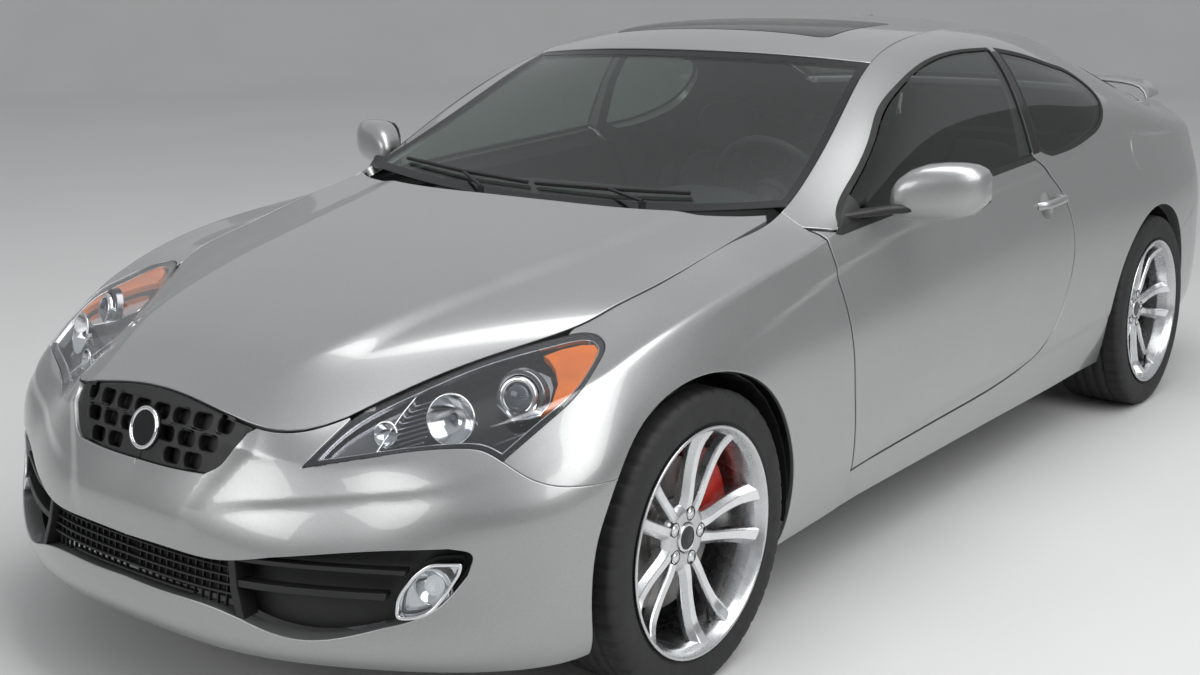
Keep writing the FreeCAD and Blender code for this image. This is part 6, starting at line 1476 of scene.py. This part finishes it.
def trims(table, side, body):
    """Makes the trims of a table on one side."""
    for name, loops, thick, radius, step, out, finish in table:
        form = shell(SIDE, [on_side(loop) for loop in loops], thick, radius, step, sink=-out)
        piece(f"{name}_{side}", sided(form, side), [finish, finish], body, "black_trim")


for side in SIDES:
    door = f"door_{side}"
    trims(DOOR_TRIMS, side, door)
    piece(f"mirror_cap_{side}", sided(mirror_left, side), [PAINT, BLACK, CHROME], door, "paint", f"mirror_{side}")
    piece(f"door_handle_{side}", sided(handle, side), [PAINT], door, "paint")
    trims(BODY_TRIMS, side, "body")

flap = np.array([(1198 + 64 * math.cos(t), 922 + 62 * math.sin(t)) for t in np.linspace(0, 2 * np.pi, 61)])
flap_loop, flap_edge = [SIDE.find(loop, SIDE_VIEW, (3900, 4500)) for loop in (flap, moved_out(flap, 3))]
flap_form = shell(SIDE, [flap_loop], 2.6, 1.6, 16, sink=-1.4, back=0)
shell(SIDE, [flap_edge], 1.6, 0.6, 16, sink=-0.3, form=flap_form)
piece("fuel_flap", flap_form, [PAINT, BLACK], "body", "paint")


def frit(name, skin, first, last, width):
    """The black edge of a pane, with the seal round it."""
    loops = [top_loop(first, last, 0.5), top_loop(first + width * 1.3, last - width, width)]
    piece(name, shell(skin, loops, 1.6, 0.8, 24, sink=-0.8), [GLOSS_BLACK, GLOSS_BLACK], "body", "black_trim")


frit("windshield_edge", WINDSHIELD, 2152, 2780, 24)
frit("rear_window_edge", REAR_WINDOW, 4070, 4590, 34)


def fin_form():
    """The aerial on the roof."""
    base, _, _ = ROOF.place(ROOF.find([(0, 860)], PLAN_VIEW))
    rows = []
    for share in np.linspace(0, 1, 10):
        long, wide = 78 * (1 - share) ** 0.8 + 10, 17 * (1 - share) ** 0.7 + 1.5
        top = min(base[0, 2] - 4 + 46 * share, 1383.5)
        middle = 872 + 34 * share
        rows.append([(wide * math.sin(t), middle - long * math.cos(t) * (0.9 if math.cos(t) > 0 else 0.675), top)
                     for t in np.linspace(0, 2 * np.pi, 25)[:-1]])
    return surface(Form(), rows, wrap=True, ends=True, flip=True)


piece("roof_aerial", fin_form(), [PAINT], "body", "paint")


def wing_form():
    """The wing on the trunk lid."""
    spine = smooth(((0, 2122, 1104), (250, 2121, 1103.5), (440, 2118, 1100), (560, 2112, 1090), (610, 2106, 1072),
                    (628, 2101, 1050), (633, 2098, 1036)), 26)
    turns = np.arange(28) * 2 * np.pi / 28
    half_chord = 74
    chord = half_chord * np.cos(turns)
    tall = 9.5 * np.sin(turns) * (1 - 0.55 * np.cos(turns)) + 6 * (chord / half_chord) ** 2 - 2
    rows = []
    for point, way in zip(spine, unit(np.gradient(spine, axis=0))):
        up = unit(np.cross(way, (0, 1, 0)))
        up = up if up[2] > 0 or abs(up[2]) < 0.2 and up[0] > 0 else -up
        rows.append(point + chord[:, None] * np.array((0, 1, 0.05)) + tall[:, None] * up)
    mirror = [row * (-1, 1, 1) for row in rows[:0:-1]]
    return surface(Form(), mirror + rows, wrap=True, ends=True)


piece("wing_blade", wing_form(), [PAINT], "trunk", "paint", "rear_wing")


# Inside

def steering_form():
    """The steering wheel: rim, three spokes, blank pad and column."""
    form = Form()
    centre = np.array((370, -335, 900.0))
    tilt = math.radians(24)
    axis = np.array((0, math.cos(tilt), math.sin(tilt)))
    up = np.array((0, -math.sin(tilt), math.cos(tilt)))
    side = np.array((1.0, 0, 0))
    section = np.linspace(0, 2 * np.pi, 15)[:-1]
    profile = np.stack([15 * np.sin(section), 181 + 15 * np.cos(section)], 1)
    lathe(form, centre, axis, profile, 72, 0, closed=True, flip=True)
    pad = rounded([(-34, 62), (-6, 62), (4, 50), (9, 26), (10, 0.1)], 6, closed=False)
    lathe(form, centre, axis, pad[::-1], 40, 0)
    lathe(form, centre, axis, [(10.4, 0.1), (10.9, 14), (10.2, 17)], 32, 1)
    for angle, wide in ((0, 26), (180, 26), (238, 17), (302, 17)):
        way = side * math.cos(math.radians(angle)) + up * math.sin(math.radians(angle))
        across = np.cross(axis, way)
        rows = []
        for r, drop in ((40, -6), (80, -10), (120, -9), (150, -5), (176, -1)):
            half_width = wide * (0.85 if r > 60 else 1)
            rows.append(centre + way * r + axis * drop + circle(across * half_width, axis * 7, 16))
        surface(form, rows, 1 if wide < 20 else 0, wrap=True, ends=True)
    lathe(form, centre, axis, [(-255, 30), (-60, 30), (-34, 58)], 32, 0, flip=True)
    return form


piece("steering_wheel_rim", steering_form(), [LEATHER, ALLOY], "steering", "dash", "steering_wheel")


def dash_form():
    """The dashboard with its binnacle; its vents, screen and console are added by dash_details."""
    base = smooth(((-876, 905), (-800, 938), (-690, 945), (-590, 925), (-530, 880), (-515, 820), (-540, 745),
                   (-575, 690), (-600, 630), (-690, 560)), 16)
    rows = []
    for x in np.linspace(-720, 720, 73):
        hood = math.exp(-((x - 370) / 150) ** 4)
        top = np.exp(-((base[:, 0] + 600) / 95) ** 2) * (base[:, 1] > 850)
        shrink = 1 - 0.10 * (abs(x) / 720) ** 4
        z = base[:, 1] * shrink + 34 * hood * top - 14 * (abs(x) / 720) ** 2 * (base[:, 1] > 800)
        z = np.minimum(z, 953)
        y = base[:, 0] + 12 * hood * (base[:, 1] > 800)
        rows.append(np.stack([np.full(len(base), x), np.minimum(y, -500), z], 1))
    return surface(Form(), rows)


def dash_details(form):
    """Vents, screen, knobs and the centre console with its lever."""
    vent = rounded([(-20, 36), (6, 38), (8, 33), (2, 30), (-6, 0.1)], 2, closed=False)[::-1]
    for x in (-640, -110, 110, 640):
        lathe(form, np.array((x, -520, 838.0)), (0, 1, 0.25), vent, 36, 1)
    console = smooth(((-560, 560), (-500, 540), (-380, 500), (-200, 478), (60, 480), (300, 492), (495, 470)), 40)
    rows = [[(x, y, h) for x, h in rounded(((-112, 440), (-105, z), (105, z), (112, 440)), 30, closed=False)]
            for y, z in console]
    surface(form, rows, ends=True)
    # columns: corners of the middle stack and of its screen, how round they are, y at the top, depth, slot
    plates = ((((-96, 808), (96, 808), (88, 556), (-88, 556)), 22, -508, 60, 1),
              (((-70, 795), (70, 795), (70, 725), (-70, 725)), 6, -503, 8, 2))
    for corners, radius, y, depth, slot in plates:
        flat = rounded(corners, radius)[:-1]
        front = np.stack([flat[:, 0], y - (808 - flat[:, 1]) * 0.14, flat[:, 1]], 1)
        surface(form, [front + (0, -depth, 0), front], slot, wrap=True, ends=True)
    for x in (-50, 0, 50):
        lathe(form, np.array((x, -520, 640.0)), (0, 1, 0.1), [(12, 0.1), (12, 14), (9, 17), (-4, 19)], 28, 2)
    lever = [(130, 0.1), (128, 16), (112, 24), (96, 22), (90, 10), (30, 12), (8, 34), (0, 40)]
    return lathe(form, np.array((0, -120, 478.0)), (0, -0.1, 1), lever, 28, 2)


piece("dash_shell", dash_details(dash_form()), [DASH, BLACK, GLOSS_BLACK], "body", "dash", "dashboard")


def pad_form(centre, half, tilt=0.0, power=4.0, seams=(), crown=0.0, size=(36, 48)):
    """A stuffed pad: a rounded block with grooves for its seams, leaning back by an angle in degrees.

    Each seam has an axis that it crosses, its place on it, its depth and its width."""
    rows, columns = size
    a = np.linspace(-np.pi / 2 + 0.02, np.pi / 2 - 0.02, rows)[:, None]
    b = (np.arange(columns) * 2 * np.pi / columns)[None]
    way = np.stack([np.cos(a) * np.cos(b), np.cos(a) * np.sin(b), np.sin(a) + 0 * b], -1)
    points = way * ((np.abs(way) ** power).sum(-1) ** (-1 / power))[..., None]
    points[..., 2] *= 1 + crown * np.prod(1 - np.clip(np.abs(points[..., :2]), 0, 1) ** 2, axis=-1)
    dip = np.zeros(points.shape[:2])
    for axis, at, depth, width in seams:
        dip += depth * np.exp(-((points[..., axis] * half[axis] - at) / width) ** 2)
    points = points * np.array(half, float)
    points -= unit(points) * dip[..., None]
    return surface(Form(), turn_x(points, tilt) + np.array(centre, float), wrap=True, ends=True, flip=True)


def padded(name, form, *replaced):
    """Makes a stuffed piece."""
    piece(name, form, [LEATHER], "body", "seat_leather", *replaced)


def seat_pads(side):
    """The pads of one front seat; gives back its posts and its base."""
    centre = 380 * side
    name = "left" if side > 0 else "right"
    cushion_seams, back_seams = [[(axis, at, 4, 6) for at in places]
                                 for axis, places in ((1, (-120, -40, 40, 120)), (2, (-150, -60, 30, 120)))]
    padded(f"seat_cushion_{name}", pad_form((centre, 60, 372), (150, 250, 62), 4, 5, cushion_seams, 0.12))
    padded(f"seat_back_{name}", pad_form((centre, 428, 640), (150, 52, 262), -26, 5, back_seams, 0.1))
    middle = [(0, 0, 2, 5)]
    padded(f"seat_head_{name}", pad_form((centre, 566, 985), (118, 42, 88), -20, 3.2, middle, 0.08, size=(24, 36)))
    for edge in (-1, 1):
        where = centre + edge * 172
        label = f"{name}_{'out' if edge * side > 0 else 'in'}"
        cushion = pad_form((where, 60, 382), (46, 246, 72), 4, 3.2, middle, size=(28, 36))
        back = pad_form((where, 412, 632), (44, 72, 236), -26, 3.0, middle, size=(28, 36))
        padded(f"seat_cushion_bolster_{label}", cushion)
        padded(f"seat_back_bolster_{label}", back)
    posts = Form()
    for x in (-42, 42):
        tube(posts, [(centre + x, 520, 860), (centre + x, 548, 930)], 6, 10)
    return posts, pad_form((centre, 80, 284), (170, 200, 50), 0, 8, size=(20, 32))


left_seat, right_seat = seat_pads(1), seat_pads(-1)
piece("seat_posts", left_seat[0].joined(right_seat[0]), [CHROME], "body", "seat_leather")
piece("seat_bases", left_seat[1].joined(right_seat[1]), [BLACK], "body", "seat_leather", "front_seats")
for x, name, both_seats in ((262, "left", ["rear_seat"]), (-262, "right", [])):
    cushion = pad_form((x, 930, 470), (240, 175, 62), 3, 4, [(0, 0, 4, 8), (1, 0, 3, 6)], 0.15)
    back = pad_form((x, 1165, 690), (240, 52, 225), -28, 4, [(0, 0, 4, 8), (2, 20, 3, 6)], 0.12)
    padded(f"rear_cushion_{name}", cushion)
    padded(f"rear_back_{name}", back, *both_seats)


# What is kept of the solid model, in its own finishes

KEPT = {
    "cowl_panel": BLACK, "rear_wing": PAINT, "headlamps": CHROME, "tail_lamps": RED_LENS, "fog_lamps": CHROME,
    "upper_grille": BLACK, "lower_grilles": BLACK, "mirror_left": PAINT, "mirror_right": PAINT, "front_seats": LEATHER,
    "rear_seat": LEATHER, "dashboard": DASH, "steering_wheel": DASH, "underbody": STEEL, "parcel_shelf": DASH,
    "radiator": STEEL, "engine_block": CAST, "front_suspension": STEEL, "rear_suspension": STEEL, "exhaust": STEEL,
    "wheel_liners": BLACK, "wipers": BLACK, "knuckle_left": RED, "knuckle_right": RED,
}
for name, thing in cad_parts.items():
    finish = KEPT.get(name, TYRE if name.startswith("tyre") else ALLOY if name.startswith("rim") else PAINT)
    thing.data.materials.clear()
    thing.data.materials.append(finish)


# Floor, lights and camera

def floor():
    """A pale floor that curves up far away."""
    turns = np.radians(np.linspace(0, 90, 15))
    radii = np.r_[0.01, 4, 8, 12, 16 + 4 * np.sin(turns), 20]
    heights = np.r_[0, 0, 0, 0, 4 - 4 * np.cos(turns), 6]
    count = 96
    across = np.linspace(0, 2 * np.pi, count + 1)[:-1]
    rings = [radii[:, None] * np.cos(across), radii[:, None] * np.sin(across), np.repeat(heights[:, None], count, 1)]
    faces = [(i * count + j, i * count + (j + 1) % count, (i + 1) * count + (j + 1) % count, (i + 1) * count + j)
             for i in range(len(radii) - 1) for j in range(count)]
    mesh = bpy.data.meshes.new("floor")
    mesh.from_pydata([tuple(p) for p in np.stack(rings, -1).reshape(-1, 3)], [], faces + [tuple(range(count))[::-1]])
    mesh.polygons.foreach_set("use_smooth", [True] * len(mesh.polygons))
    thing = bpy.data.objects.new("floor", mesh)
    bpy.context.scene.collection.objects.link(thing)
    made = material("floor_pale", (0.62, 0.62, 0.615), 0.85)
    shades(made, 0.8, (0.61, 0.61, 0.605), (0.63, 0.63, 0.625))
    mesh.materials.append(made)


def lamp(name, place, aim, size, power):
    """A soft rectangular lamp that shines at a point."""
    data = bpy.data.lights.new(name, "AREA")
    data.shape = "RECTANGLE"
    data.size, data.size_y = size
    data.energy = power
    thing = bpy.data.objects.new(name, data)
    thing.location = place
    thing.rotation_mode = "QUATERNION"
    thing.rotation_quaternion = (Vector(aim) - Vector(place)).to_track_quat("-Z", "Y")
    bpy.context.scene.collection.objects.link(thing)


floor()
lamp("lamp_top", (2.3, -0.8, 6.0), (0.6, -0.4, 0), (3.4, 8.0), 310)
lamp("lamp_left", (7.0, -2.0, 4.0), (0, -0.5, 0.6), (5.0, 3.0), 130)
lamp("lamp_front", (-2.0, -8.5, 3.5), (0, -1, 0.6), (5.0, 3.0), 140)

world = bpy.data.worlds.new("studio")
bpy.context.scene.world = world
world.use_nodes = True
world.node_tree.nodes["Background"].inputs["Color"].default_value = (0.86, 0.88, 0.90, 1)
world.node_tree.nodes["Background"].inputs["Strength"].default_value = 0.6

CAMERA_AT = Vector((2.6553, -4.1063, 1.5308))
AZIMUTH, ELEVATION, ROLL = math.radians(37.756), math.radians(9.859), math.radians(-0.3405)
SENSOR = 36.0
# both as shares of the picture's width
FOCAL_SHARE = 1541.08 / 1200
SHIFT = -95.9 / 1200

camera_data = bpy.data.cameras.new("camera")
camera = bpy.data.objects.new("camera", camera_data)
bpy.context.scene.collection.objects.link(camera)
back = Vector((math.sin(AZIMUTH) * math.cos(ELEVATION), -math.cos(AZIMUTH) * math.cos(ELEVATION), math.sin(ELEVATION)))
right = (-back).cross(Vector((0, 0, 1))).normalized()
up = right.cross(-back)
right, up = right * math.cos(ROLL) + up * math.sin(ROLL), up * math.cos(ROLL) - right * math.sin(ROLL)
turn = Matrix((right, up, back)).transposed().to_4x4()
camera.matrix_world = Matrix.Translation(CAMERA_AT) @ turn
camera_data.sensor_width = SENSOR
camera_data.lens = SENSOR * FOCAL_SHARE
camera_data.shift_y = SHIFT
camera_data.clip_start, camera_data.clip_end = 0.05, 200.0
bpy.context.scene.camera = camera

bpy.context.scene.view_settings.view_transform = "Standard"
